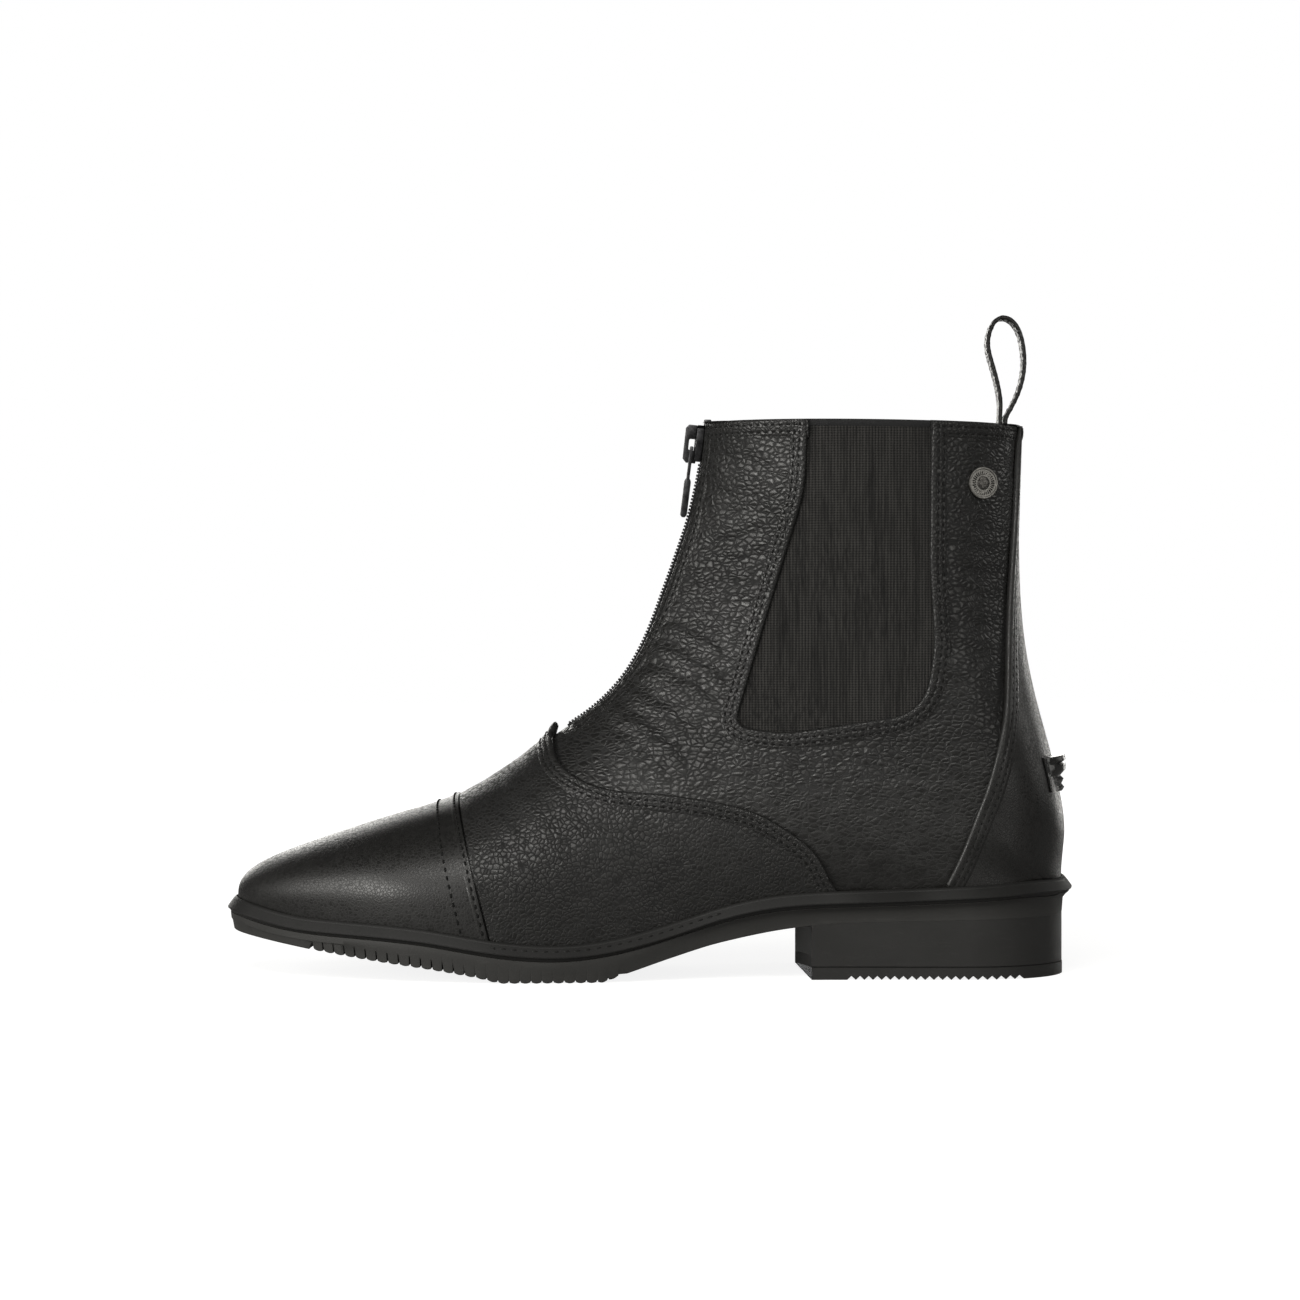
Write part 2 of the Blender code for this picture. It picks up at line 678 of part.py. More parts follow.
def build_back_strap(material):
    rows = np.concatenate([[strap_start()], UPPER_ROWS[UPPER_ROWS > strap_start() + 0.15]])
    share = np.linspace(0.0, 1.0, 9)
    edge = strap_edge_t(rows)[:, None]
    near = -(edge + (1.0 - edge) * share[None, :])
    t = np.concatenate([near, -near[:, ::-1]], axis=1)
    columns = t.shape[1]
    seam = len(share) - 1
    s = np.repeat(rows[:, None], columns, axis=1)
    layers = []
    for stand in (OVERLAY_GAP + STRAP_THICKNESS, OVERLAY_GAP):
        grid = on_upper(s, t, np.full(s.shape, stand))
        shut = rows >= HEEL_CORNER - 1e-6
        middle = (grid[shut, seam] + grid[shut, seam + 1]) / 2
        grid[shut, seam] = middle
        grid[shut, seam + 1] = middle
        layers.append(above_sole(grid.reshape(-1, 3)))
    cells = grid_cells(len(rows), columns, lambda i, j: j != seam)
    pairs = {
        i * columns + seam + 1: i * columns + seam for i, r in enumerate(rows) if r >= HEEL_CORNER - 1e-6
    }
    add_shell("back_strap", layers[0], layers[1], weld(cells, pairs), material)


def outline_loop(stations):
    """Points and outward directions round the last's outline: lateral side toe to heel, then back."""
    stations = np.asarray(stations, float)
    half_length = (HEEL_BACK_X - TOE_TIP_X) / 2
    middle = (HEEL_BACK_X + TOE_TIP_X) / 2
    turn = np.arccos(np.clip((middle - stations) / half_length, -1.0, 1.0))
    turn = np.concatenate([turn, 2 * np.pi - turn[-2:0:-1]])

    def place(angle):
        x = middle - half_length * np.cos(angle)
        side = np.where(np.sin(angle) >= 0, -1.0, 1.0)
        x = np.clip(x, TOE_TIP_X, HEEL_BACK_X)
        y = centre_of(x) + side * half_of(x) * toe_rounding(x) * heel_rounding(x)
        return np.stack([x, y], axis=-1)

    points = place(turn)
    along = place(turn + 4e-3) - place(turn - 4e-3)
    normal = np.stack([-along[:, 1], along[:, 0]], axis=1)
    normal /= -np.linalg.norm(normal, axis=1, keepdims=True)
    return points, normal


def spaced_stations(count):
    middle = (HEEL_BACK_X + TOE_TIP_X) / 2
    half_length = (HEEL_BACK_X - TOE_TIP_X) / 2
    return middle - half_length * np.cos(np.linspace(0.0, np.pi, count))


BASE_S = np.linspace(0.0, HEEL_CORNER, 600)
BASE_ORDER = np.maximum.accumulate(COLUMN["base_x"](BASE_S))


def base_z(x):
    """Height of the upper's lower edge, which stands on the outsole."""
    x = np.asarray(x, float)
    inside = np.interp(x, BASE_ORDER, COLUMN["base_z"](BASE_S))
    return inside + TOE_RISE_SLOPE * np.maximum(TOE_TIP_X - x, 0.0)


def lip_z(x):
    toe = 1.0 - smooth_step(TOE_TIP_X, TOE_TIP_X + TOE_LIP_LENGTH, x)
    return base_z(np.maximum(x, TOE_TIP_X)) + LAST_MARGIN + TOE_LIP_RISE * toe


def above_sole(points):
    """Nothing of the upper reaches below the plane its lower edge stands on."""
    floor = base_z(points[:, 0]) + FEATHER_CLEAR
    points[:, 2] = np.maximum(points[:, 2], floor)
    return points


def layer_at(x):
    """Thickness of what lies over the quarter where the welt meets it."""
    cap_end = float(COLUMN["base_x"](TOE_CAP_EDGE))
    vamp_end = float(COLUMN["base_x"](vamp_edge_s(1.0)))
    strap_front = float(COLUMN["base_x"](strap_start()))
    cap = (GAP + TOE_CAP_THICKNESS) * (1.0 - smooth_step(cap_end + 2.0, cap_end + 7.0, x))
    vamp = (OVERLAY_GAP + VAMP_THICKNESS) * (1.0 - smooth_step(vamp_end + 7.0, vamp_end + 12.0, x))
    strap = (OVERLAY_GAP + STRAP_THICKNESS) * smooth_step(strap_front - 10.0, strap_front - 4.0, x)
    return np.maximum(cap, np.maximum(vamp, strap))


def upper_at_lip():
    """The upper's outside, layers and gap included, at the height of the welt's lip."""
    first = 0.72
    s = first + (HEEL_CORNER + 0.9 - first) * np.linspace(0.0, 1.0, 500) ** 1.6
    rings = []
    for side in (-1.0, 1.0):
        lip = lip_z(np.minimum(COLUMN["base_x"](s), HEEL_BACK_X))
        share = np.clip((lip - COLUMN["base_z"](s)) / (COLUMN["ridge_z"](s) - COLUMN["base_z"](s)), 0.0, 1.0)
        widest = COLUMN["widest"](s)
        _, start = section_shape(s, np.full(s.shape, side))
        high = np.clip((share - widest) / (1 - widest), 0.0, 1.0) ** (COLUMN["crown"](s) / 2)
        low = (share / widest - 1.0) * np.sin(-start)
        angle = np.arcsin(np.clip(np.where(share > widest, high, low), -1.0, 1.0))
        t = t_of(s, angle, start, side)
        layer = layer_at(COLUMN["base_x"](s)) + WELT_CLEAR
        rings.append(on_upper(s, t, layer)[:, :2])
    return np.concatenate(rings)


def offset_to(points, normals, target):
    """How far out along each direction the target points lie."""
    found = np.zeros(len(points))
    for i, (point, normal) in enumerate(zip(points, normals)):
        out = target - point
        along = out @ normal
        aside = np.abs(out[:, 0] * normal[1] - out[:, 1] * normal[0])
        aside = np.where((along > -2.0) & (along < 9.0), aside, 1e9)
        found[i] = along[np.argsort(aside)[:3]].max()
    return found


def ring_faces(loops, count, closed):
    faces = []
    last = loops if closed else loops - 1
    for k in range(last):
        for i in range(count):
            a = k * count + i
            b = k * count + (i + 1) % count
            c = ((k + 1) % loops) * count + (i + 1) % count
            d = ((k + 1) % loops) * count + i
            faces.append((a, b, c, d))
    return faces


def bridge_across(first, count):
    """Strips that join the lateral half of a loop to its medial half."""
    half = count // 2
    faces = [(first, first + 1, first + count - 1)]
    for i in range(1, half - 1):
        faces.append((first + i, first + i + 1, first + count - i - 1, first + count - i))
    faces.append((first + half - 1, first + half, first + half + 1))
    return faces


def loop_3d(points, normals, reach, z):
    place = points + normals * np.broadcast_to(reach, (len(points),))[:, None]
    height = z(place[:, 0]) if callable(z) else np.broadcast_to(z, (len(points),))
    return np.column_stack([place, height])


def sole_reach(points, fore, aft):
    blend = smooth_step(WAIST_FRONT_X, WAIST_BACK_X, points[:, 0])
    return fore + (aft - fore) * blend


def build_welt(material):
    points, normals = outline_loop(spaced_stations(35))
    at_lip = offset_to(points, normals, upper_at_lip())
    layer = layer_at(points[:, 0]) + WELT_CLEAR
    lip = lip_z(points[:, 0])
    low = base_z
    loops = [
        loop_3d(points, normals, layer, low),
        loop_3d(points, normals, np.maximum(at_lip, layer), lip),
        loop_3d(points, normals, np.maximum(at_lip, layer) + WELT_LIP, lip),
        loop_3d(points, normals, WELT_REACH, lip - WELT_EDGE_DROP),
        loop_3d(points, normals, WELT_REACH - WELT_UNDERCUT, low),
    ]
    add_solid("welt", np.concatenate(loops), ring_faces(5, len(points), True), material)


def toothed(low, high, pitch):
    count = int(round((high - low) / pitch))
    return np.linspace(low, high, 2 * count + 1)


def build_outsole(material):
    teeth = toothed(TREAD_FRONT_X, TREAD_BACK_X, TREAD_PITCH)
    plain = spaced_stations(32)
    front = plain[plain < TREAD_FRONT_X - 1.5]
    back = plain[plain > TREAD_BACK_X + 3.0]
    stations = np.concatenate([front, teeth, back])
    points, normals = outline_loop(stations)
    count = len(points)
    notch = np.zeros(len(stations))
    notch[len(front) + 1 : len(front) + len(teeth) : 2] = TREAD_DEPTH
    notch = np.concatenate([notch, notch[-2:0:-1]])
    top = sole_reach(points, OUTSOLE_REACH_TOP, HEEL_REACH + 0.6)
    bottom = sole_reach(points, OUTSOLE_REACH_BOTTOM, HEEL_REACH)
    inner = bottom - TREAD_LENGTH
    rim = loop_3d(points, normals, bottom, underside)
    shoulder = loop_3d(points, normals, bottom + 0.35, underside)
    shoulder[:, 2] += TREAD_DEPTH + 1.0
    rim[:, 2] += notch
    loops = [
        loop_3d(points, normals, top, lambda x: base_z(x) - GAP),
        shoulder,
        rim,
        loop_3d(points, normals, inner, underside),
    ]
    faces = ring_faces(len(loops), count, False)
    faces += bridge_across(0, count)
    faces += bridge_across((len(loops) - 1) * count, count)
    add_solid("outsole", np.concatenate(loops), faces, material)


def heel_outline(reach, stations, breast_points=9):
    """Outline of the heel from its lateral front corner round the back, then along the hollow breast."""
    points, normals = outline_loop(np.concatenate([[TOE_TIP_X], stations]))
    edge = (points + normals * reach)[1 : 2 * len(stations)]
    last = edge[-1].copy()
    last[0] -= HEEL_BREAST_SKEW
    edge[-1] = last
    share = np.linspace(0.0, 1.0, breast_points)[1:-1, None]
    breast = last + (edge[0] - last) * share
    breast[:, 0] += HEEL_BREAST_HOLLOW * 4.0 * (share * (1.0 - share))[:, 0]
    return np.concatenate([edge, breast]), len(edge)


def heel_stations(teeth):
    if teeth:
        middle = toothed(TOP_PIECE_TOOTH_FRONT_X, TOP_PIECE_TOOTH_BACK_X, TOP_PIECE_PITCH)
    else:
        middle = np.linspace(66.0, 124.0, 8)
    turn = np.linspace(np.arcsin((126.0 - HEEL_BACK_X + HEEL_RADIUS) / HEEL_RADIUS), np.pi / 2, 5)
    return np.concatenate([[HEEL_BREAST_X], middle, HEEL_BACK_X - HEEL_RADIUS + HEEL_RADIUS * np.sin(turn)])


def stack(levels):
    count = len(levels[0])
    faces = ring_faces(len(levels), count, False)
    faces.append(tuple(range(count)))
    faces.append(tuple(range(len(levels) * count - 1, (len(levels) - 1) * count - 1, -1)))
    return np.concatenate(levels), faces


def build_heel(material, top_piece_material):
    plan, _ = heel_outline(HEEL_REACH, heel_stations(False))
    roof = np.column_stack([plan, underside(plan[:, 0]) - GAP])
    seat = np.column_stack([plan, np.full(len(plan), TOP_PIECE_THICKNESS + GAP)])
    points, faces = stack([seat, roof])
    add_solid("heel_block", points, faces, material)

    stations = heel_stations(True)
    plan, edge_count = heel_outline(HEEL_REACH + 0.15, stations)
    inner, _ = heel_outline(HEEL_REACH - TOP_PIECE_TOOTH_LENGTH, stations)
    inner[edge_count:] = plan[edge_count:]
    inner[0] = plan[0] + (inner[0] - plan[0]) * 0.5
    inner[edge_count - 1] = plan[edge_count - 1] + (inner[edge_count - 1] - plan[edge_count - 1]) * 0.5
    tooth = np.zeros(len(stations))
    tooth_count = len(toothed(TOP_PIECE_TOOTH_FRONT_X, TOP_PIECE_TOOTH_BACK_X, TOP_PIECE_PITCH))
    tooth[2 : 1 + tooth_count : 2] = TOP_PIECE_TOOTH_DEPTH
    height = np.zeros(len(plan))
    height[:edge_count] = np.concatenate([tooth, tooth[-2::-1]])
    inner[:, 0] = np.where(np.arange(len(plan)) >= edge_count, plan[:, 0] + 0.8, inner[:, 0])
    levels = [
        np.column_stack([inner, np.zeros(len(plan))]),
        np.column_stack([plan, height + 0.02]),
        np.column_stack([plan, np.full(len(plan), TOP_PIECE_THICKNESS)]),
    ]
    points, faces = stack(levels)
    add_solid("heel_top_piece", points, faces, top_piece_material)


def build_insole(material):
    points, normals = outline_loop(spaced_stations(27))
    count = len(points)
    reach = -WALL - INSOLE_CLEAR
    low = loop_3d(points, normals, reach, base_z)
    high = loop_3d(points, normals, reach, lambda x: base_z(x) + INSOLE_THICKNESS)
    faces = ring_faces(2, count, False) + bridge_across(0, count) + bridge_across(count, count)
    add_solid("insole", np.concatenate([low, high]), faces, material)


def swept_strip(name, rows, section, material):
    """A closed section of (beside, stand) points carried along the front ridge."""
    loops = []
    for beside, stand in section:
        t = t_at_width(rows, np.full(rows.shape, beside))
        loops.append(on_upper(rows, t, np.full(rows.shape, stand)))
    points = np.stack(loops, axis=1).reshape(-1, 3)
    wide = len(section)
    faces = ring_faces(len(rows), wide, False)
    faces.append(tuple(range(wide)))
    faces.append(tuple(range(len(rows) * wide - 1, (len(rows) - 1) * wide - 1, -1)))
    return add_solid(name, points, faces, material)


def ridge_s(z):
    s = np.linspace(THROAT, COLLAR, 400)
    return float(np.interp(z, COLUMN["ridge_z"](s), s))


def build_zip(tape_material, metal):
    rows = np.linspace(ZIP_SLIT_START + 0.06, COLLAR, 20)
    half = ZIP_SLIT_HALF - GAP
    high = -TAPE_RECESS
    low = high - TAPE_THICKNESS
    tape = [(-half, low), (half, low), (half, high), (0.5, high), (-0.5, high), (-half, high)]
    swept_strip("zip_tape", rows, tape, tape_material)
    rows = np.linspace(ZIP_SLIT_START + 0.06, ridge_s(SLIDER_HEIGHT - SLIDER_HALF_LENGTH - 1.0), 20)
    chain = [
        (-CHAIN_HALF, CHAIN_BOTTOM),
        (CHAIN_HALF, CHAIN_BOTTOM),
        (CHAIN_HALF, 0.4),
        (1.0, CHAIN_RISE),
        (-1.0, CHAIN_RISE),
        (-CHAIN_HALF, 0.4),
    ]
    swept_strip("zip_chain", rows, chain, metal)


def slider_frame():
    """Matrix with x along the zip, y across it and z standing off the leather."""
    s = ridge_s(SLIDER_HEIGHT)
    origin = Vector(upper_point(s, 0.0))
    out = Vector(upper_normal(s, 0.0))
    out.y = 0.0
    out.normalize()
    across = Vector((0.0, 1.0, 0.0))
    up = across.cross(out)
    matrix = Matrix((up, across, out)).transposed().to_4x4()
    matrix.translation = origin
    return matrix


def plate(outline, low, high):
    """A flat outline of (a, b) points drawn out from low to high."""
    count = len(outline)
    outline = np.asarray(outline, float)
    near = np.column_stack([outline[:, 0], np.full(count, low), outline[:, 1]])
    far = np.column_stack([outline[:, 0], np.full(count, high), outline[:, 1]])
    faces = [tuple(range(count)), tuple(range(2 * count - 1, count - 1, -1))]
    faces += [(i, (i + 1) % count, count + (i + 1) % count, count + i) for i in range(count)]
    return np.concatenate([near, far]), faces


def placed(points, matrix):
    return np.array([tuple(matrix @ Vector(p)) for p in points])


def build_slider(material):
    frame = slider_frame()
    end = SLIDER_HALF_LENGTH
    wide = SLIDER_HALF_WIDTH
    body = [
        (-end, -wide * 0.62),
        (-end, wide * 0.62),
        (end * 0.1, wide),
        (end * 0.8, wide),
        (end, wide * 0.6),
        (end, -wide * 0.6),
        (end * 0.8, -wide),
        (end * 0.1, -wide),
    ]
    points, faces = plate(body, SLIDER_BACK, SLIDER_FRONT)
    points = points[:, [0, 2, 1]]
    slider = add_solid("zip_slider", placed(points, frame), faces, material)
    low = SLIDER_FRONT - 0.6
    outline = [
        (-end + 0.3, low),
        (-end + 0.3, 5.4),
        (-end + 1.6, BRIDGE_FRONT),
        (end - 1.8, BRIDGE_FRONT),
        (end - 0.4, 5.6),
        (end - 0.4, low),
        (end - 2.9, low),
        (end - 2.9, 5.1),
        (end - 3.7, 5.7),
        (-end + 2.6, 5.7),
        (-end + 1.8, 5.0),
        (-end + 1.8, low),
    ]
    points, faces = plate(outline, -BRIDGE_HALF_WIDTH, BRIDGE_HALF_WIDTH)
    bridge = add_solid("zip_bridge", placed(points, frame), faces)
    boolean(slider, "UNION", bridge)


def build_pull(material):
    """Pull tab about its own axis: a bar through the bridge, two arms and a thick end."""
    bar = np.linspace(0.0, 2 * np.pi, 13)[:-1]
    ring = [(PULL_BAR_RADIUS * np.cos(a), PULL_BAR_RADIUS * np.sin(a)) for a in bar]
    points, faces = plate(ring, -PULL_HALF_WIDTH + 0.2, PULL_HALF_WIDTH - 0.2)
    lean = Matrix.Rotation(float(PULL_LEAN), 4, "Y")
    half = PULL_ARM_THICKNESS / 2
    end_half = PULL_END_THICKNESS / 2
    arm_end = -PULL_ARM_LENGTH
    tip = arm_end - PULL_END_LENGTH
    profile = [
        (half, 0.55),
        (-half, 0.55),
        (-half, arm_end + 0.6),
        (-end_half, arm_end - 0.2),
        (-end_half, tip + 0.8),
        (-end_half + 0.8, tip),
        (end_half - 0.8, tip),
        (end_half, tip + 0.8),
        (end_half, arm_end - 0.2),
        (half, arm_end + 0.6),
    ]
    tab_points, tab_faces = plate(profile, -PULL_HALF_WIDTH, PULL_HALF_WIDTH)
    pull = add_solid("zip_pull_tab", placed(tab_points, lean), tab_faces, material)
    eye = BRIDGE_HALF_WIDTH + 0.45
    slot = [(-4.0, 4.0), (4.0, 4.0), (4.0, -8.6), (-4.0, -8.6)]
    slot_points, slot_faces = plate(slot, -eye, eye)
    axis = Vector((PULL_AXIS_X * MM, 0.0, PULL_AXIS_Z * MM))
    pull.location = axis
    eye_cutter = add_solid("zip_pull_eye", placed(slot_points, lean), slot_faces)
    eye_cutter.location = axis
    boolean(pull, "DIFFERENCE", eye_cutter)
    pin = add_solid("zip_pull_bar", points, faces)
    pin.location = axis
    boolean(pull, "UNION", pin)


def build_pull_loop(material):
    steps = np.linspace(0.0, len(PULL_LOOP) - 1.0, 38)
    x = natural_spline([p.x for p in PULL_LOOP])(steps)
    z = natural_spline([p.z for p in PULL_LOOP])(steps)
    along = np.stack([np.gradient(x), np.gradient(z)], axis=1)
    along /= np.linalg.norm(along, axis=1, keepdims=True)
    side = np.stack([-along[:, 1], along[:, 0]], axis=1) * LOOP_THICKNESS / 2
    loops = []
    for across, sign in ((-0.5, -1), (0.5, -1), (0.5, 1), (-0.5, 1)):
        y = np.full(len(steps), across * LOOP_WIDTH)
        loops.append(np.column_stack([x + sign * side[:, 0], y, z + sign * side[:, 1]]))
    points = np.stack(loops, axis=1).reshape(-1, 3)
    faces = ring_faces(len(steps), 4, False)
    faces.append((0, 1, 2, 3))
    last = (len(steps) - 1) * 4
    faces.append((last + 3, last + 2, last + 1, last))
    add_solid("pull_loop", points, faces, material)


def build_button(material):
    s, t = locate(BUTTON_X, BUTTON_Z, -1)
    normal = Vector(upper_normal(s, t))
    origin = Vector(on_upper(s, t, np.array(0.0)))
    turn = normal.to_track_quat("Z", "Y").to_matrix().to_4x4()
    turn.translation = origin
    radius = BUTTON_RADIUS
    profile = [(radius * 0.72, 0.55), (radius, 0.75), (radius, 1.5), (radius * 0.9, BUTTON_HEIGHT), (radius * 0.82, 1.6)]
    around = 22
    points = []
    for r, z in profile:
        for a in np.linspace(0.0, 2 * np.pi, around, endpoint=False):
            points.append((r * np.cos(a), r * np.sin(a), z))
    faces = ring_faces(len(profile), around, False)
    faces.append(tuple(range(around)))
    faces.append(tuple(range(len(profile) * around - 1, (len(profile) - 1) * around - 1, -1)))
    add_solid("button", placed(points, turn), faces, material)


def build_spur_rest(material):
    """A ribbed bar that follows the heel, thick at the back and thin at its ends."""
    turn = np.linspace(-1.0, 1.0, 9)
    base_s = np.linspace(HEEL_CORNER, COLLAR, 300)
    heights = COLUMN["base_z"](base_s)
    sheets = []
    for rib_stand in (False, True):
        for rib in SPUR_REST:
            back = np.interp(rib.z, heights, COLUMN["base_x"](base_s)) - 0.02
            x = back - SPUR_REST_CURVE * (1.0 - np.cos(turn * SPUR_REST_SPREAD))
            points = np.zeros((len(turn), 3))
            for side in (-1, 1):
                s, t = locate(x, np.full(x.shape, rib.z), side)
                taper = 1.0 - smooth_step(0.45, 1.0, np.abs(turn))
                extra = np.maximum(rib.stand * taper, 0.5) if rib_stand else 0.0
                stand = OVERLAY_GAP + GAP + STRAP_THICKNESS + SPUR_REST_CLEAR + extra
                here = turn * side >= 0
                points[here] = on_upper(s, t, np.broadcast_to(stand, s.shape))[here]
            points[np.abs(turn) < 1e-9, 1] = 0.0
            sheets.append(points)
    ribs = len(SPUR_REST)
    wide = len(turn)
    inner = np.concatenate(sheets[:ribs])
    outer = np.concatenate(sheets[ribs:])
    add_shell("spur_rest", outer, inner, grid_cells(ribs, wide), material)


def build():
    for thing in list(bpy.data.objects):
        bpy.data.objects.remove(thing, do_unlink=True)
    leather = new_material("black_leather", (0.016, 0.015, 0.014), 0.42)
    smooth_leather = new_material("smooth_black_leather", (0.014, 0.013, 0.013), 0.32)
    rubber = new_material("black_rubber", (0.028, 0.028, 0.027), 0.62)
    elastic = new_material("black_elastic", (0.022, 0.021, 0.020), 0.85)
    footbed = new_material("insole_leather", (0.030, 0.026, 0.022), 0.7)
    tape = new_material("zip_tape_weave", (0.015, 0.015, 0.016), 0.8)
    dark_metal = new_material("black_nickel", (0.06, 0.06, 0.062), 0.35, 1.0)
    grey_metal = new_material("aged_silver_metal", (0.28, 0.27, 0.25), 0.4, 1.0)
    build_outsole(rubber)
    build_heel(rubber.copy(), rubber.copy())
    build_welt(rubber.copy())
    build_insole(footbed)
    build_upper(leather)
    build_vamp(leather.copy())
    build_toe_cap(smooth_leather)
    build_back_strap(smooth_leather.copy())
    build_gores(elastic)
    build_zip(tape, dark_metal)
    build_slider(dark_metal.copy())
    build_pull(dark_metal.copy())
    build_pull_loop(leather.copy())
    build_button(grey_metal)
    build_spur_rest(rubber.copy())


build()
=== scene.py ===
"""Looks of a front-zip riding boot, left foot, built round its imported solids.

Toe at -X, heel at +X, outer side at -Y, floor at z = 0.
Sizes are in millimetres unless a comment says metres.
"""

from collections import namedtuple

import bmesh
import bpy
import numpy as np
from mathutils import Matrix, Vector


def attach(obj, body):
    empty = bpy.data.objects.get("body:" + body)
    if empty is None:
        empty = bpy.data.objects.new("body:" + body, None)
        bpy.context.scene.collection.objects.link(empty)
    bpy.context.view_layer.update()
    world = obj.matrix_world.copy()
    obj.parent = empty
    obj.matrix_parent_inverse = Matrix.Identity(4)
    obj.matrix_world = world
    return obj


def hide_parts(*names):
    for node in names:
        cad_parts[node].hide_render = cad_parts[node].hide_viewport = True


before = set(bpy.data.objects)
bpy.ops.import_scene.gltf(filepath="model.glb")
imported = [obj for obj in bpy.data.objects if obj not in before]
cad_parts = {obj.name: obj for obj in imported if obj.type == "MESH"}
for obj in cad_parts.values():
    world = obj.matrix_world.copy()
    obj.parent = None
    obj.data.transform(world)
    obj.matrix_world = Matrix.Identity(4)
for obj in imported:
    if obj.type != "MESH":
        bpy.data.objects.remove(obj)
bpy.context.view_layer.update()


def rows_of(kind, *rows):
    """A table with named columns."""
    return [kind(*row) for row in rows]


MM = 0.001
GAP = 0.3
OVERLAY_GAP = 0.55
SIDES = ((-1.0, "lateral"), (1.0, "medial"))
SHARP_ANGLE = np.radians(38.0)
HALVINGS = 45

# Upper
WALL = 2.2
LAST_MARGIN = 5.2
VAMP_THICKNESS = 1.0
TOE_CAP_THICKNESS = 1.6
STRAP_THICKNESS = 1.0
THROAT_TAB_RISE = 3.6
THROAT_TAB_LENGTH = 3.4
THROAT_TAB_LEAN = (0.42, 0.0, 0.91)
THROAT_TAB_HALF_WIDTH = 9.0
VAMP_SPAN = 40.0
LOWER_SHARE_FOOT = 0.24
LOWER_SHARE_SHAFT = 0.46
GORE_RECESS = 0.9
GORE_THICKNESS = 1.1
WINDOW_REACH = 90.0

# Places along the upper, counted in sections
TOE_START = 0.2
FIRST_FULL_SECTION = 0.3
LIP_FIRST_SECTION = 0.72
TOE_CAP_EDGE = 7.1
THROAT = 9.0
CREASES_BEGIN = (9.0, 10.5)
ZIP_SLIT_START = 9.35
LOWER_SHARE_CHANGE = (11.0, 22.0)
BELOW_CORNER = 15.9
HEEL_CORNER = 16.0
LIP_LAST_SECTION = 16.9
COLLAR = 25.0

# Places round a section, as shares of the way from ridge to base
SLIT_LIMIT = 0.35
COLLAR_LAP = 0.004

# Zip
ZIP_SLIT_HALF = 3.6
TAPE_RECESS = 0.7
TAPE_THICKNESS = 1.0
CORE_HALF = 2.1
CORE_STAND = 0.62
TOOTH_PITCH = 2.4
TOOTH_LENGTH = 0.75
TOOTH_REACH = 2.6
TOOTH_HEIGHT = 1.5
TOOTH_ASIDE = 0.85
TOOTH_STAND = 0.42
STOP_SIZE = (2.6, 1.5, 2.0)
STOP_ASIDE = 2.2
SLIDER_HEIGHT = 181.3
SLIDER_HALF_LENGTH = 6.2
SLIDER_HALF_WIDTH = 4.4
SLIDER_BACK = 0.4
SLIDER_FRONT = 2.9
BRIDGE_FRONT = 6.9
BRIDGE_HALF_WIDTH = 1.2
BRIDGE_BASE = 3.4
BRIDGE_WINDOW_FRONT = 5.25
BRIDGE_WINDOW_TOP = 1.3
BRIDGE_WINDOW_FOOT = -2.6
PULL_AXIS_X = 14.3
PULL_AXIS_Z = 179.8
PULL_LEAN = np.radians(7.0)
PULL_BAR_RADIUS = 0.65
PULL_ARM_THICKNESS = 1.2
PULL_ARM_LENGTH = 11.0
PULL_FORK_LENGTH = 9.6
PULL_END_LENGTH = 12.8
PULL_END_THICKNESS = 2.4
PULL_HALF_WIDTH = 3.0

# Sole
TOE_TIP_X = -139.4
HEEL_BACK_X = 138.6
SOLE_MIDDLE_X = (HEEL_BACK_X + TOE_TIP_X) / 2
SOLE_HALF_LENGTH = (HEEL_BACK_X - TOE_TIP_X) / 2
HEEL_RADIUS = 31.5
HEEL_TURN_X = 125.2
TOE_ROUND_START_X = -70.0
TOE_ROUND_POWER = 2.1
TOE_RISE_SLOPE = 0.2
TOE_LIP_RISE = 1.1
TOE_LIP_LENGTH = 26.0
FEATHER_CLEAR = 0.1
WELT_REACH = 6.4
WELT_EDGE_DROP = 3.8
WELT_UNDERCUT = 0.9
WELT_CLEAR = 0.55
WELT_TUCK = 0.25
WELT_MARK_FRONT_X = -52.0
WELT_MARK_BACK_X = 26.0
WELT_MARK_PITCH = 3.4
WELT_MARK_LENGTH = 2.2
WELT_MARK_RADIUS = 0.32
WELT_MARK_SHARE = 0.62
WELT_MARK_DROP = 1.93
WELT_MARK_LEAN = (0.62, 0.78)
OUTSOLE_REACH_TOP = 5.4
OUTSOLE_REACH_BOTTOM = 4.2
OUTSOLE_TRIM = 0.35
WAIST_FRONT_X = -8.0
WAIST_BACK_X = 34.0
TREAD_FRONT_X = -111.0
TREAD_BACK_X = -11.0
TREAD_COUNT = 28
TREAD_PITCH = (TREAD_BACK_X - TREAD_FRONT_X) / TREAD_COUNT
TREAD_ROWS = (0.03, 0.07, 0.12, 0.2, 0.3, 0.4, 0.5, 0.6, 0.7, 0.8, 0.88, 0.93, 0.97)
TOOTH_MARKS = (0.0, 0.04, 0.07, 0.1, 0.14, 0.22, 0.36, 0.5, 0.64, 0.78, 0.86, 0.9, 0.93, 0.96)
SLOT_HEIGHT = 2.9
SLOT_HEIGHT_BALL = 0.9
SLOT_FADE_X = (-78.0, -50.0)
SLOT_SHARE = 0.062
SCALLOP = 0.5
HEEL_REACH = 2.9
HEEL_TRIM = 0.05
HEEL_BREAST_X = 54.0
HEEL_BREAST_SKEW = 2.6
HEEL_BREAST_HOLLOW = 5.0
BREAST_POINTS = 17
TOP_PIECE_THICKNESS = 4.2
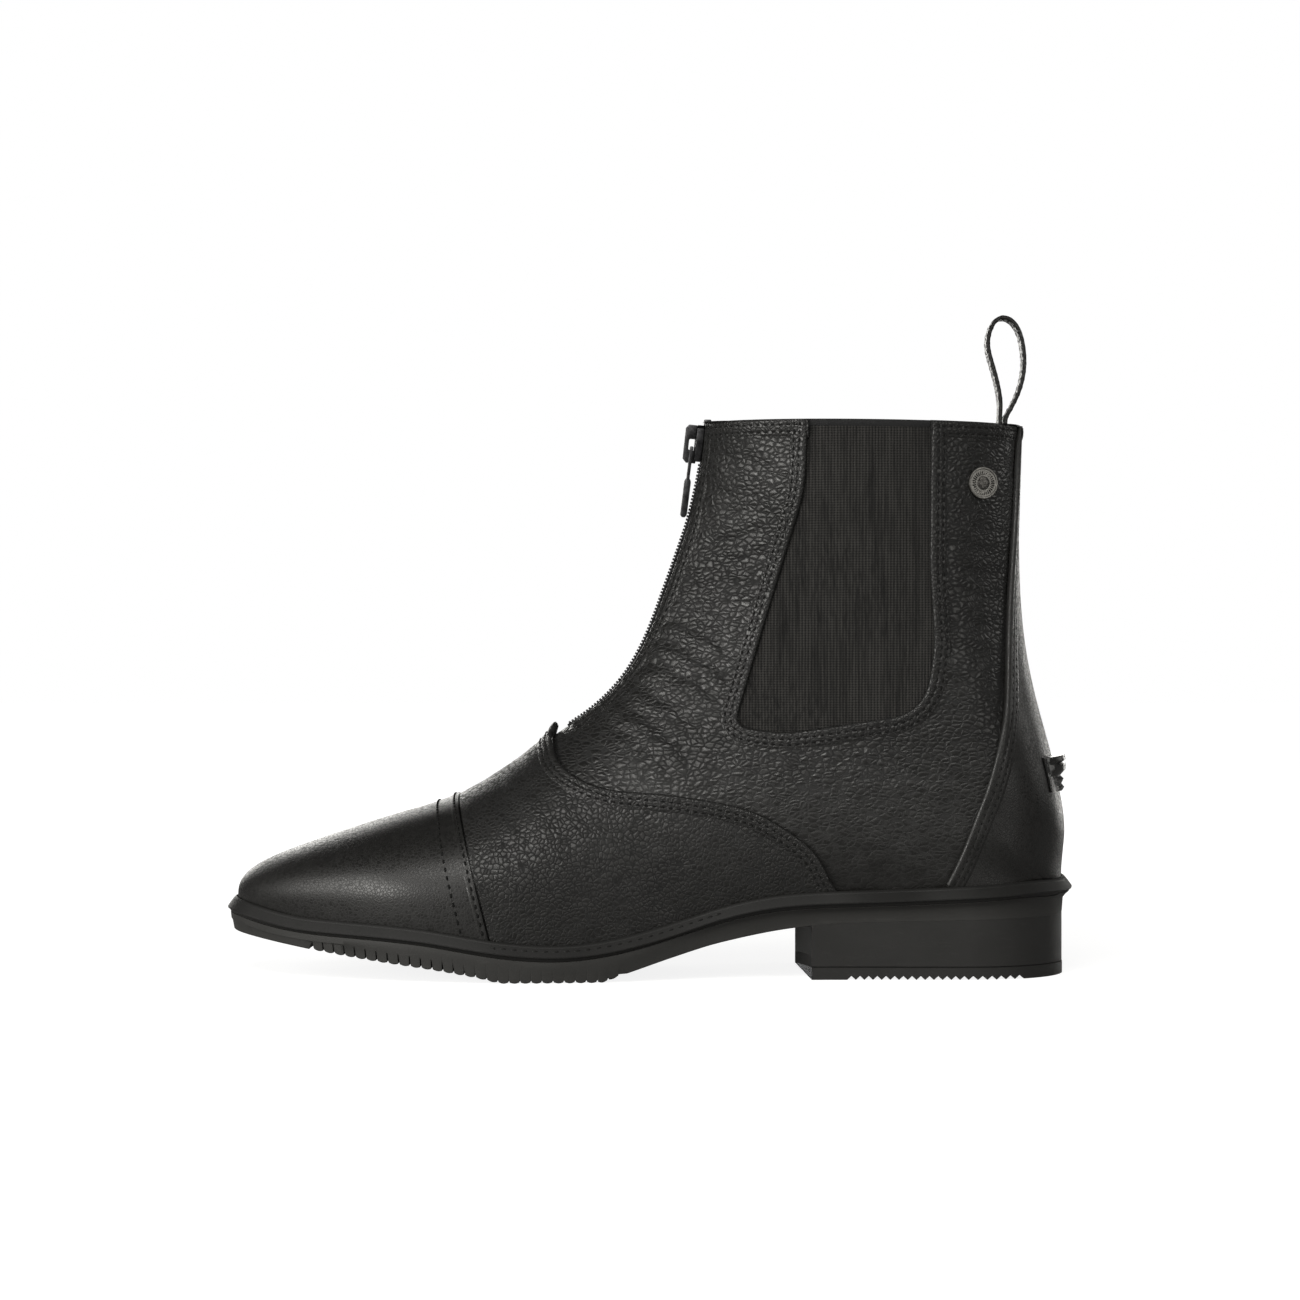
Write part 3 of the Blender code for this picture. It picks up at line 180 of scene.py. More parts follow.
NOTCH_FRONT_X = 66.0
NOTCH_BACK_X = 124.0
NOTCH_DEPTH = 1.3
HEEL_TEETH = 20
INSOLE_THICKNESS = 3.0
INSOLE_CLEAR = 0.9

# Small pieces
LOOP_WIDTH = 9.0
LOOP_THICKNESS = 1.4
LOOP_EDGE = ((0.0, 0.35), (0.4, 0.92), (1.5, 0.98))
LOOP_STITCH_INSET = 1.2
LOOP_STITCH_SINK = 0.12
LOOP_THREAD_RADIUS = 0.18
BUTTON_X = 111.9
BUTTON_Z = 166.7
BUTTON_RADIUS = 5.5
BUTTON_TILT = 0.9
BUTTON_FLUTES = 30
FLUTE_DEPTH = 0.16
FLUTED_RING = (0.5, 0.74)
SPUR_REST_SPREAD = np.radians(38.0)
SPUR_REST_CURVE = 24.0
SPUR_REST_CLEAR = 0.2
SPUR_REST_THINNEST = 0.5

# Looks: linear colours, pitches, and the heights in metres between which the leather's grain comes in
# GROOVE_SHADE: painted shade, the colour the leather's grooves darken to.
GROOVE_SHADE = (0.0016, 0.0015, 0.0014)
LEATHER_BLACK = (0.0086, 0.0083, 0.0077)
# ELASTIC_DARK: painted shade in the elastic's hollows, and the darkest of its streaks.
ELASTIC_DARK = (0.0006, 0.00057, 0.00053)
ELASTIC_LIGHT = (0.027, 0.0259, 0.0241)
FLOOR_TONE = (0.3, 0.3, 0.3)
LIGHT_COLOUR = (1.0, 0.985, 0.945)
QUARTER_FADE = (0.030, 0.085)
VAMP_FADE = (0.0, 0.012)
RIB_PITCH = 1.05
WEAVE_PITCH = 0.86

# Camera of the photograph
PHOTO_WIDTH = 1300
PIXEL = 0.3444
SENSOR_WIDTH = 36.0
CAMERA_DISTANCE = 1200.0
CAMERA_HEIGHT = 110.4

# Studio, in metres: the floor's glow rises to full between near and far
AMBIENT = 0.05
FLOOR_HALF = 6.0
FLOOR_GLOW = 0.86
FLOOR_NEAR = 0.25
FLOOR_FAR = 0.55
Light = namedtuple("Light", "name place aim size power")
LIGHTS = rows_of(
    Light,
    ("key_box", (-1.10, -0.80, 0.55), (0.0, 0.0, 0.10), (0.6, 0.7), 7.0),
    ("high_box", (-0.16, -0.98, 0.92), (0.0, 0.0, 0.05), (0.5, 0.5), 8.5),
    ("low_box", (-0.95, -1.15, 0.24), (0.0, 0.0, 0.05), (0.5, 0.4), 10.5),
    ("side_box", (-1.35, -0.40, 0.45), (0.0, 0.0, 0.12), (0.5, 0.8), 4.0),
    ("front_box", (0.30, -1.60, 0.50), (0.0, 0.0, 0.1), (0.8, 0.5), 0.9),
    ("fill_box", (0.95, -1.00, 0.50), (0.05, 0.0, 0.1), (0.5, 0.8), 3.9),
    ("back_box", (-0.25, 1.35, 0.36), (0.0, 0.0, 0.08), (1.3, 0.45), 9.0),
    ("rear_box", (1.35, 0.40, 0.60), (0.1, 0.0, 0.1), (0.5, 0.7), 2.4),
    ("heel_rim", (0.75, 0.95, 0.12), (0.1, 0.0, 0.06), (0.3, 0.22), 1.2),
)

# One row a section of the upper, from the toe's tip to the collar. A section is a plane seen from the
# side as the line from its base, on the sole or up the heel's back, to its ridge, on the front outline.
# lateral and medial: how far the wall bulges past the last's outline; widest: where, from base to ridge;
# crown: how square the shoulders are.
Section = namedtuple("Section", "ridge_x ridge_z base_x base_z ridge_y lateral medial widest crown")
SECTIONS = rows_of(
    Section,
    (-139.4, 19.6, -139.4, 19.6, 5.2, 0.0, 0.0, 0.42, 2.20),
    (-140.2, 27.6, -137.8, 19.2, 5.1, 0.2, 0.2, 0.42, 2.20),
    (-137.2, 33.0, -132.5, 18.0, 4.9, 0.4, 0.4, 0.41, 2.20),
    (-129.5, 37.5, -123.5, 16.4, 4.6, 0.6, 0.6, 0.40, 2.25),
    (-118.0, 42.0, -110.5, 15.1, 4.1, 0.9, 0.9, 0.39, 2.25),
    (-101.5, 47.6, -92.5, 14.1, 3.6, 1.2, 1.2, 0.37, 2.25),
    (-84.0, 53.1, -73.0, 12.2, 3.0, 1.4, 1.4, 0.36, 2.20),
    (-66.8, 58.8, -54.0, 9.1, 2.5, 1.5, 1.5, 0.35, 2.15),
    (-47.6, 70.0, -31.0, 7.3, 2.0, 1.5, 1.6, 0.33, 2.10),
    (-33.1, 80.9, -8.0, 10.2, 1.5, 1.7, 2.4, 0.30, 2.05),
    (-21.8, 88.6, 14.0, 16.5, 1.0, 2.3, 4.2, 0.28, 2.00),
    (-12.8, 96.6, 38.0, 22.6, 0.6, 3.0, 4.8, 0.27, 2.00),
    (-6.7, 104.5, 64.0, 24.5, 0.3, 3.2, 4.0, 0.26, 2.00),
    (-2.5, 112.0, 92.0, 25.5, 0.1, 2.8, 3.0, 0.25, 2.00),
    (0.6, 119.0, 114.0, 26.6, 0.0, 2.0, 2.0, 0.235, 2.00),
    (3.1, 125.6, 130.0, 27.6, 0.0, 1.4, 1.4, 0.22, 2.00),
    (5.4, 132.0, 138.6, 28.2, 0.0, 1.0, 1.0, 0.21, 2.00),
    (7.6, 138.0, 139.8, 34.5, 0.0, 0.9, 0.9, 0.21, 2.00),
    (9.7, 144.0, 140.6, 44.0, 0.0, 1.0, 1.0, 0.215, 2.00),
    (11.9, 150.3, 140.4, 55.5, 0.0, 1.2, 1.2, 0.23, 2.00),
    (14.0, 157.2, 136.2, 75.0, 0.0, 1.6, 1.6, 0.27, 2.00),
    (15.8, 164.6, 131.1, 94.0, 0.0, 2.0, 2.0, 0.33, 2.00),
    (17.3, 172.0, 127.0, 116.0, 0.0, 2.6, 2.6, 0.39, 2.00),
    (18.3, 178.6, 125.5, 140.0, 0.0, 3.0, 3.0, 0.44, 2.00),
    (18.9, 184.0, 125.4, 163.5, 0.0, 3.3, 3.3, 0.47, 2.00),
    (19.2, 188.3, 126.1, 187.2, 0.0, 3.5, 3.5, 0.50, 2.00),
)

# The last's outline from below: its centre line and half width before toe and heel are rounded off.
Station = namedtuple("Station", "x centre half")
OUTLINE = rows_of(
    Station,
    (-139.4, 5.2, 34.0), (-107.0, 3.4, 39.0), (-79.0, 1.5, 42.2), (-57.0, -0.4, 43.0), (-34.0, -2.6, 40.5),
    (-6.0, -4.2, 34.5), (22.0, -3.6, 30.0), (56.0, -1.3, 29.8), (98.0, 0.0, 31.5), (138.6, 0.0, 31.5),
)

# The sole's underside seen from the side: toe spring, flat at the ball, arch, then the heel's seat.
Spot = namedtuple("Spot", "x z")
UNDERSIDE = rows_of(
    Spot,
    (-145.0, 14.6), (-111.0, 9.5), (-93.0, 7.0), (-74.0, 4.5), (-58.0, 1.9), (-48.0, 0.0), (-17.0, 0.0),
    (-9.0, 2.5), (8.0, 8.1), (24.0, 12.8), (48.0, 17.4), (62.0, 18.8), (100.0, 19.8), (145.0, 20.8),
)

# Seams as seen from the side.
VAMP_EDGE = rows_of(
    Spot,
    (-32.4, 76.4), (-30.0, 70.8), (-22.1, 65.3), (-11.5, 62.5), (0.0, 61.8), (12.0, 60.5), (24.1, 58.5),
    (33.9, 56.0), (42.8, 51.6), (50.1, 46.7), (55.8, 41.1), (59.9, 33.6),
)
STRAP_EDGE = rows_of(
    Spot,
    (99.2, 31.5), (104.6, 42.5), (109.6, 55.0), (113.8, 66.5), (117.6, 82.5), (119.4, 96.0), (120.6, 119.0),
    (122.2, 140.0), (123.8, 158.0), (124.9, 176.0), (125.5, 187.0),
)

# The welt's slope from lip to edge: share of the way out and drop below the lip.
Slope = namedtuple("Slope", "share drop")
WELT_SLOPE = rows_of(
    Slope,
    (0.03, 0.05), (0.10, 0.0), (0.17, 0.12), (0.34, 0.75), (0.37, 0.98), (0.41, 0.98), (0.72, 2.35),
    (0.93, 3.35),
)

# The outsole's wall: inset from its widest reach, reach past the heel's and drop below the upper.
Wall = namedtuple("Wall", "inset heel drop")
OUTSOLE_WALL = rows_of(Wall, (0.5, 2.0, 0.05), (0.0, 2.5, 0.3), (0.05, 1.5, 1.1), (0.2, 0.45, 2.4))

# The heel block from below: inset, share of its height and extra rise.
Level = namedtuple("Level", "inset share rise")
HEEL_LEVELS = rows_of(Level, (0.3, 0.0, 0.0), (0.0, 0.0, 0.25), (0.0, 1.0, -0.05), (0.05, 1.0, 0.0))

# The button's rings: share of its radius and height over the leather.
Ring = namedtuple("Ring", "share height")
BUTTON_RIM = rows_of(
    Ring,
    (0.70, 0.45), (0.97, 0.7), (1.0, 0.95), (1.0, 1.5), (0.98, 1.78), (0.93, 1.9), (0.87, 1.84), (0.84, 1.5),
)
BUTTON_FACE = rows_of(
    Ring,
    (0.86, 1.2), (0.86, 1.46), (0.76, 1.46), (0.72, 1.56), (0.53, 1.58), (0.48, 1.44), (0.44, 1.44),
    (0.40, 1.6), (0.28, 1.66), (0.12, 1.7), (0.03, 1.71),
)

# A stitch's thread: shares of its half length, and of its radius for thickness and height.
Stretch = namedtuple("Stretch", "reach thick arch")
THREAD = rows_of(
    Stretch,
    (-1.0, 0.45, -1.15), (-0.82, 0.85, -0.35), (-0.35, 1.0, 0.2),
    (0.35, 1.0, 0.2), (0.82, 0.85, -0.35), (1.0, 0.45, -1.15),
)

# The gore's opening: corner points with the radius that rounds each.
Corner = namedtuple("Corner", "x z radius")
GORE = rows_of(
    Corner,
    (52.9, 196.0, 0.0), (51.6, 164.0, 60.0), (28.0, 84.6, 5.0), (45.0, 82.0, 40.0), (92.5, 89.0, 17.0),
    (95.6, 112.0, 40.0), (94.2, 140.0, 60.0), (94.9, 196.0, 0.0),
)

# Middle line of the pull loop, from its inner end round to its outer end.
PULL_LOOP = rows_of(
    Spot,
    (120.0, 172.0), (120.2, 189.0), (120.3, 196.5), (118.6, 205.0), (116.5, 212.5), (116.3, 218.0),
    (118.2, 222.8), (121.2, 224.6), (124.6, 223.2), (127.3, 218.5), (128.5, 211.5), (128.2, 205.0),
    (126.2, 198.0), (122.9, 191.5), (122.0, 187.0), (121.7, 172.0),
)

# Spur rest seen from the side: how far each edge stands off the strap.
Rib = namedtuple("Rib", "z stand")
SPUR_REST = rows_of(
    Rib,
    (61.9, 0.7), (62.8, 1.6), (64.2, 0.9), (65.6, 2.0), (66.9, 1.1), (68.6, 3.4), (70.3, 3.8), (70.9, 2.6),
    (71.7, 4.2), (73.2, 4.2), (73.6, 0.7),
)


def unit(vectors):
    return vectors / np.linalg.norm(vectors, axis=-1, keepdims=True)


def run_of(places):
    """How far along a line each of its places lies."""
    return np.concatenate([[0.0], np.cumsum(np.linalg.norm(np.diff(places, axis=0), axis=1))])


def at_run(at, run, values):
    """A line's values at given distances along it."""
    return np.stack([np.interp(at, run, column) for column in values.T], axis=1)


def natural_spline(values):
    """A smooth curve through the values at 0, 1, 2 ..."""
    values = np.asarray(values, float)
    count = len(values)
    matrix = np.eye(count)
    right = np.zeros(count)
    for i in range(1, count - 1):
        matrix[i, i - 1 : i + 2] = (1.0, 4.0, 1.0)
        right[i] = 6.0 * (values[i - 1] - 2.0 * values[i] + values[i + 1])
    bend = np.linalg.solve(matrix, right)

    def curve(at):
        at = np.asarray(at, float)
        i = np.clip(np.floor(at).astype(int), 0, count - 2)
        f = at - i
        g = 1.0 - f
        low = values[i] * g + bend[i] * (g**3 - g) / 6.0
        return low + values[i + 1] * f + bend[i + 1] * (f**3 - f) / 6.0

    return curve


def monotone_curve(xs, ys):
    """A curve through the points that never swings past them."""
    xs = np.asarray(xs, float)
    ys = np.asarray(ys, float)
    step = np.diff(xs)
    slope = np.diff(ys) / step
    tangent = np.zeros(len(xs))
    same = slope[:-1] * slope[1:] > 0
    weight_a = 2.0 * step[1:] + step[:-1]
    weight_b = step[1:] + 2.0 * step[:-1]
    with np.errstate(divide="ignore", invalid="ignore"):
        mean = (weight_a + weight_b) / (weight_a / slope[:-1] + weight_b / slope[1:])
    tangent[1:-1] = np.where(same, mean, 0.0)
    tangent[0] = slope[0]
    tangent[-1] = slope[-1]

    def curve(at):
        at = np.clip(np.asarray(at, float), xs[0], xs[-1])
        i = np.clip(np.searchsorted(xs, at, side="right") - 1, 0, len(step) - 1)
        f = (at - xs[i]) / step[i]
        rise = ys[i] * (1 + 2 * f) * (1 - f) ** 2 + ys[i + 1] * f * f * (3 - 2 * f)
        bend = tangent[i] * f * (1 - f) ** 2 - tangent[i + 1] * f * f * (1 - f)
        return rise + bend * step[i]

    return curve


def smooth_step(low, high, at):
    f = np.clip((np.asarray(at, float) - low) / (high - low), 0.0, 1.0)
    return f * f * (3.0 - 2.0 * f)


def side_of(t):
    """-1 on the lateral side, 1 on the medial side."""
    return np.where(t < 0, -1.0, 1.0)


def paired(first, second):
    """Both as arrays of numbers with the same shape."""
    return np.broadcast_arrays(np.asarray(first, float), np.asarray(second, float))


COLUMN = {name: natural_spline([getattr(row, name) for row in SECTIONS]) for name in Section._fields}
centre_of = monotone_curve([r.x for r in OUTLINE], [r.centre for r in OUTLINE])
half_of = monotone_curve([r.x for r in OUTLINE], [r.half for r in OUTLINE])
underside = monotone_curve([r.x for r in UNDERSIDE], [r.z for r in UNDERSIDE])


def toe_rounding(x):
    reach = (TOE_ROUND_START_X - np.asarray(x, float)) / (TOE_ROUND_START_X - TOE_TIP_X)
    reach = np.clip(reach, 0.0, 1.0)
    return np.sqrt(1.0 - reach**TOE_ROUND_POWER)


def heel_rounding(x):
    reach = (np.asarray(x, float) - HEEL_BACK_X + HEEL_RADIUS) / HEEL_RADIUS
    return np.sqrt(1.0 - np.clip(reach, 0.0, 1.0) ** 2)


def back_shut(s):
    """Whether both sides of a section meet on the back seam, as they do from the heel's corner up."""
    return s >= HEEL_CORNER - 1e-6


def section_shape(s, side):
    """Width at a section's widest place, and the angle where its base lies."""
    base_x = COLUMN["base_x"](s)
    ridge_y = COLUMN["ridge_y"](s)
    bulge = np.where(side < 0, COLUMN["lateral"](s), COLUMN["medial"](s))
    plan = half_of(base_x) * toe_rounding(base_x)
    lean = side * (centre_of(base_x) - ridge_y)
    width = np.maximum(plan + lean + bulge, 0.05)
    closed = np.where(back_shut(s), 0.0, heel_rounding(base_x))
    base = np.clip((plan * closed + lean * closed) / width, 0.0, 0.994)
    return width, -np.arccos(base)


def lower_share(s):
    """Share of a section's columns that lie below its widest place."""
    return LOWER_SHARE_FOOT + (LOWER_SHARE_SHAFT - LOWER_SHARE_FOOT) * smooth_step(*LOWER_SHARE_CHANGE, s)


def angle_of(s, t, start):
    share = lower_share(s)
    up = 1.0 - np.abs(t)
    return np.where(up < share, start * (1.0 - up / share), np.pi / 2 * (up - share) / (1.0 - share))


def t_of(s, angle, start, side):
    share = lower_share(s)
    low = share * (1.0 - angle / start)
    high = share + (1.0 - share) * angle / (np.pi / 2)
    return side * (1.0 - np.where(angle < 0, low, high))


def upper_point(s, t):
    """Outside of the quarter: s counts sections, t runs -1 lateral base, 0 ridge, 1 medial base."""
    s, t = paired(s, t)
    side = side_of(t)
    width, start = section_shape(s, side)
    widest = COLUMN["widest"](s)
    power = 2.0 / COLUMN["crown"](s)
    angle = angle_of(s, t, start)
    sine = np.sin(angle)
    cosine = np.clip(np.cos(angle), 0.0, 1.0)
    above = angle > 0
    climb = np.where(
        above,
        widest + (1.0 - widest) * np.clip(sine, 0.0, 1.0) ** power,
        widest * (1.0 - sine / np.sin(start)),
    )
    reach = width * np.where(above, cosine**power, cosine)
    x = COLUMN["base_x"](s) + (COLUMN["ridge_x"](s) - COLUMN["base_x"](s)) * climb
    z = COLUMN["base_z"](s) + (COLUMN["ridge_z"](s) - COLUMN["base_z"](s)) * climb
    y = COLUMN["ridge_y"](s) + side * reach
    return np.stack([x, y, z], axis=-1)


def upper_normal(s, t):
    s, t = paired(s, t)
    step = 2e-3
    along = upper_point(np.minimum(s + step, COLLAR), t) - upper_point(np.maximum(s - step, 0.05), t)
    across = upper_point(s, np.minimum(t + step, 1.0)) - upper_point(s, np.maximum(t - step, -1.0))
    normal = np.cross(along, across)
    return normal / np.maximum(np.linalg.norm(normal, axis=-1, keepdims=True), 1e-12)


def on_upper(s, t, stand):
    """A point standing off the outside of the quarter; below zero it lies in the wall."""
    stand = np.asarray(stand, float)[..., None]
    return upper_point(s, t) + upper_normal(s, t) * stand


def t_at_width(s, y):
    """t beside the ridge where the wall is y from the middle line; the sign gives the side."""
    s, y = paired(s, y)
    side = side_of(y)
    width, start = section_shape(s, side)
    ratio = np.clip(np.abs(y) / width, 0.0, 1.0) ** (COLUMN["crown"](s) / 2.0)
    return t_of(s, np.arccos(ratio), start, side)


def angle_at(climb, s, start):
    """Angle round a section where a share of the way from its base to its ridge is climbed."""
    widest = COLUMN["widest"](s)
    upper_sine = np.clip((climb - widest) / (1 - widest), 0.0, 1.0) ** (COLUMN["crown"](s) / 2.0)
    lower_sine = (climb / widest - 1.0) * np.sin(-start)
    return np.arcsin(np.clip(np.where(climb > widest, upper_sine, lower_sine), -1.0, 1.0))


def locate(x, z, side):
    """The s and t of a place seen from the side, by halving the stretch of sections that holds it."""
    x, z = paired(x, z)
    low = np.full(x.shape, FIRST_FULL_SECTION)
    high = np.full(x.shape, COLLAR)
    for _ in range(HALVINGS):
        s = (low + high) / 2
        to_ridge_x = COLUMN["ridge_x"](s) - COLUMN["base_x"](s)
        to_ridge_z = COLUMN["ridge_z"](s) - COLUMN["base_z"](s)
        out_x = x - COLUMN["base_x"](s)
        out_z = z - COLUMN["base_z"](s)
        behind = to_ridge_x * out_z - to_ridge_z * out_x < 0
        low = np.where(behind, s, low)
        high = np.where(behind, high, s)
    climb = (out_x * to_ridge_x + out_z * to_ridge_z) / (to_ridge_x**2 + to_ridge_z**2)
    _, start = section_shape(s, np.broadcast_to(side, x.shape))
    return s, t_of(s, angle_at(np.clip(climb, 0.0, 1.0), s, start), start, side)


def through(spots, steps):
    """x and z of a smooth line through the spots, at steps counted in spots."""
    return natural_spline([p.x for p in spots])(steps), natural_spline([p.z for p in spots])(steps)


def located_edge(spots):
    """s and t along a smooth seam through the spots."""
    x, z = through(spots, np.linspace(0.0, len(spots) - 1.0, 60 * len(spots)))
    s, t = locate(x, z, -1)
    return s, np.abs(t)


def grid_cells(rows, columns, keep=None):
    cells = []
    for i in range(rows - 1):
        for j in range(columns - 1):
            if keep is None or keep(i, j):
                a = i * columns + j
                cells.append((a, a + 1, a + columns + 1, a + columns))
    return cells


def weld(cells, pairs):
    return [tuple(pairs.get(v, v) for v in cell) for cell in cells]


def rounded_outline(corners, inset, arc_steps):
    """Points of a closed outline, its corners turned to arcs, moved inwards by the inset."""
    places = np.array([(corner.x, corner.z) for corner in corners])
    points = []
    for i, corner in enumerate(corners):
        here = places[i]
        if corner.radius == 0.0:
            points.append(here)
            continue
        back = unit(places[i - 1] - here)
        ahead = unit(places[(i + 1) % len(corners)] - here)
        half = np.arccos(np.clip(back @ ahead, -1, 1)) / 2
        reach = corner.radius / np.tan(half)
        for step in np.linspace(0.0, 1.0, arc_steps):
            a = here + back * reach * (1 - step) ** 2
            points.append(a + ahead * reach * step**2)
    points = np.array(points)
    along = np.roll(points, -1, axis=0) - np.roll(points, 1, axis=0)
    return points + unit(np.stack([-along[:, 1], along[:, 0]], axis=1)) * inset


def grid_marks(per_side):
    share = np.linspace(0.0, 1.0, per_side)
    return np.concatenate([-1.0 - share[::-1], [0.0], 1.0 + share])


def column_t(s, mark):
    """t of a grid column: mark 0 is the ridge, 1 the zip slit's edge, 2 the base; the sign is the side."""
    side = side_of(mark)
    slit = np.minimum(np.abs(t_at_width(s, side * ZIP_SLIT_HALF)), SLIT_LIMIT)
    share = np.abs(mark)
    return side * np.where(share <= 1.0, slit * share, slit + (1.0 - slit) * (share - 1.0))


def close_back(points, rows, columns):
    """Both base columns meet on the back seam above the heel's corner."""
    grid = points.reshape(len(rows), columns, 3)
    shut = back_shut(rows)
    middle = (grid[shut, 0] + grid[shut, -1]) / 2
    grid[shut, 0] = middle
    grid[shut, -1] = middle
    return grid.reshape(-1, 3)


def vamp_edge_s(t):
    s, edge_t = located_edge(VAMP_EDGE)
    order = np.argsort(edge_t)
    s = np.concatenate([[THROAT], s[order], [s[-1] - 0.1]])
    edge_t = np.concatenate([[0.0], edge_t[order], [1.0]])
    return np.interp(np.abs(t), edge_t, s)


def throat_lift(t, inward):
    """The vamp's edge stands up in a small tab where the zip ends."""
    beside = upper_point(np.full(np.shape(t), THROAT), t)[..., 1] - COLUMN["ridge_y"](THROAT)
    near = 1.0 - smooth_step(0.25 * THROAT_TAB_HALF_WIDTH, THROAT_TAB_HALF_WIDTH, np.abs(beside))
    rise = THROAT_TAB_RISE * near * (1.0 - smooth_step(0.0, THROAT_TAB_LENGTH, inward))
    return rise[..., None] * np.array(THROAT_TAB_LEAN)


def strap_edge_t(s):
    edge_s, edge_t = located_edge(STRAP_EDGE)
    order = np.argsort(edge_s)
    return np.interp(s, edge_s[order], edge_t[order])


def strap_start():
    edge_s, _ = located_edge(STRAP_EDGE)
    return edge_s.min()


def outline_loop(stations):
    """Points and outward directions round the last's outline: lateral side toe to heel, then back."""
    stations = np.asarray(stations, float)
    turn = np.arccos(np.clip((SOLE_MIDDLE_X - stations) / SOLE_HALF_LENGTH, -1.0, 1.0))
    turn = np.concatenate([turn, 2 * np.pi - turn[-2:0:-1]])

    def place(angle):
        x = SOLE_MIDDLE_X - SOLE_HALF_LENGTH * np.cos(angle)
        side = np.where(np.sin(angle) >= 0, -1.0, 1.0)
        x = np.clip(x, TOE_TIP_X, HEEL_BACK_X)
        y = centre_of(x) + side * half_of(x) * toe_rounding(x) * heel_rounding(x)
        return np.stack([x, y], axis=-1)

    along = place(turn + 4e-3) - place(turn - 4e-3)
    return place(turn), -unit(np.stack([-along[:, 1], along[:, 0]], axis=1))


def spaced_stations(count):
    """Places from toe to heel, closer together at both ends."""
    return SOLE_MIDDLE_X - SOLE_HALF_LENGTH * np.cos(np.linspace(0.0, np.pi, count))


BASE_S = np.linspace(0.0, HEEL_CORNER, 600)
BASE_ORDER = np.maximum.accumulate(COLUMN["base_x"](BASE_S))


def base_z(x):
    """Height of the upper's lower edge, which stands on the outsole."""
    x = np.asarray(x, float)
    inside = np.interp(x, BASE_ORDER, COLUMN["base_z"](BASE_S))
    return inside + TOE_RISE_SLOPE * np.maximum(TOE_TIP_X - x, 0.0)


def lip_z(x):
    toe = 1.0 - smooth_step(TOE_TIP_X, TOE_TIP_X + TOE_LIP_LENGTH, x)
    return base_z(np.maximum(x, TOE_TIP_X)) + LAST_MARGIN + TOE_LIP_RISE * toe


def above_sole(points):
    """Nothing of the upper reaches below the plane its lower edge stands on."""
    points[:, 2] = np.maximum(points[:, 2], base_z(points[:, 0]) + FEATHER_CLEAR)
    return points


def layer_at(x):
    """Thickness of what lies over the quarter where the welt meets it."""
    cap_end = float(COLUMN["base_x"](TOE_CAP_EDGE))
    vamp_end = float(COLUMN["base_x"](vamp_edge_s(1.0)))
    strap_front = float(COLUMN["base_x"](strap_start()))
    cap = (GAP + TOE_CAP_THICKNESS) * (1.0 - smooth_step(cap_end + 2.0, cap_end + 7.0, x))
    vamp = (OVERLAY_GAP + VAMP_THICKNESS) * (1.0 - smooth_step(vamp_end + 7.0, vamp_end + 12.0, x))
    strap = (OVERLAY_GAP + STRAP_THICKNESS) * smooth_step(strap_front - 10.0, strap_front - 4.0, x)
    return np.maximum(cap, np.maximum(vamp, strap))


def upper_at_lip():
    """The upper's outside, layers and gap included, at the height of the welt's lip."""
    spread_out = np.linspace(0.0, 1.0, 500) ** 1.6
    s = LIP_FIRST_SECTION + (LIP_LAST_SECTION - LIP_FIRST_SECTION) * spread_out
    base_x = COLUMN["base_x"](s)
    base = COLUMN["base_z"](s)
    lip = lip_z(np.minimum(base_x, HEEL_BACK_X))
    climb = np.clip((lip - base) / (COLUMN["ridge_z"](s) - base), 0.0, 1.0)
    rings = []
    for side in (-1.0, 1.0):
        _, start = section_shape(s, np.full(s.shape, side))
        t = t_of(s, angle_at(climb, s, start), start, side)
        rings.append(on_upper(s, t, layer_at(base_x) + WELT_CLEAR)[:, :2])
    return np.concatenate(rings)


def offset_to(points, normals, target):
    """How far out along each direction the nearest target points lie."""
    found = np.zeros(len(points))
    for i, (point, normal) in enumerate(zip(points, normals)):
        out = target - point
        along = out @ normal
        aside = np.abs(out[:, 0] * normal[1] - out[:, 1] * normal[0])
        aside = np.where((along > -2.0) & (along < 9.0), aside, 1e9)
        found[i] = along[np.argsort(aside)[:3]].max()
    return found


def ring_faces(loops, count, closed):
    faces = []
    last = loops if closed else loops - 1
    for k in range(last):
        for i in range(count):
            a = k * count + i
            b = k * count + (i + 1) % count
            c = ((k + 1) % loops) * count + (i + 1) % count
            d = ((k + 1) % loops) * count + i
            faces.append((a, b, c, d))
    return faces


def bridge_across(first, count):
    """Strips that join the lateral half of a loop to its medial half."""
    half = count // 2
    faces = [(first, first + 1, first + count - 1)]
    for i in range(1, half - 1):
        faces.append((first + i, first + i + 1, first + count - i - 1, first + count - i))
    faces.append((first + half - 1, first + half, first + half + 1))
    return faces


def loop_3d(points, normals, reach, z):
    place = points + normals * np.broadcast_to(reach, (len(points),))[:, None]
    height = z(place[:, 0]) if callable(z) else np.broadcast_to(z, (len(points),))
    return np.column_stack([place, height])


def sole_reach(points, fore, aft):
    blend = smooth_step(WAIST_FRONT_X, WAIST_BACK_X, points[:, 0])
    return fore + (aft - fore) * blend


def heel_outline(reach, stations):
    """Outline of the heel from its lateral front corner round the back, then along the hollow breast."""
    points, normals = outline_loop(np.concatenate([[TOE_TIP_X], stations]))
    edge = (points + normals * reach)[1 : 2 * len(stations)]
    last = edge[-1].copy()
    last[0] -= HEEL_BREAST_SKEW
    edge[-1] = last
    share = np.linspace(0.0, 1.0, BREAST_POINTS)[1:-1, None]
    breast = last + (edge[0] - last) * share
    breast[:, 0] += HEEL_BREAST_HOLLOW * 4.0 * (share * (1.0 - share))[:, 0]
    return np.concatenate([edge, breast]), len(edge)


def tube_faces(length, count):
    """Faces of a tube of rings with so many points each, capped at both ends."""
    last = (length - 1) * count
    caps = [tuple(range(count)), tuple(range(last + count - 1, last - 1, -1))]
    return ring_faces(length, count, False) + caps


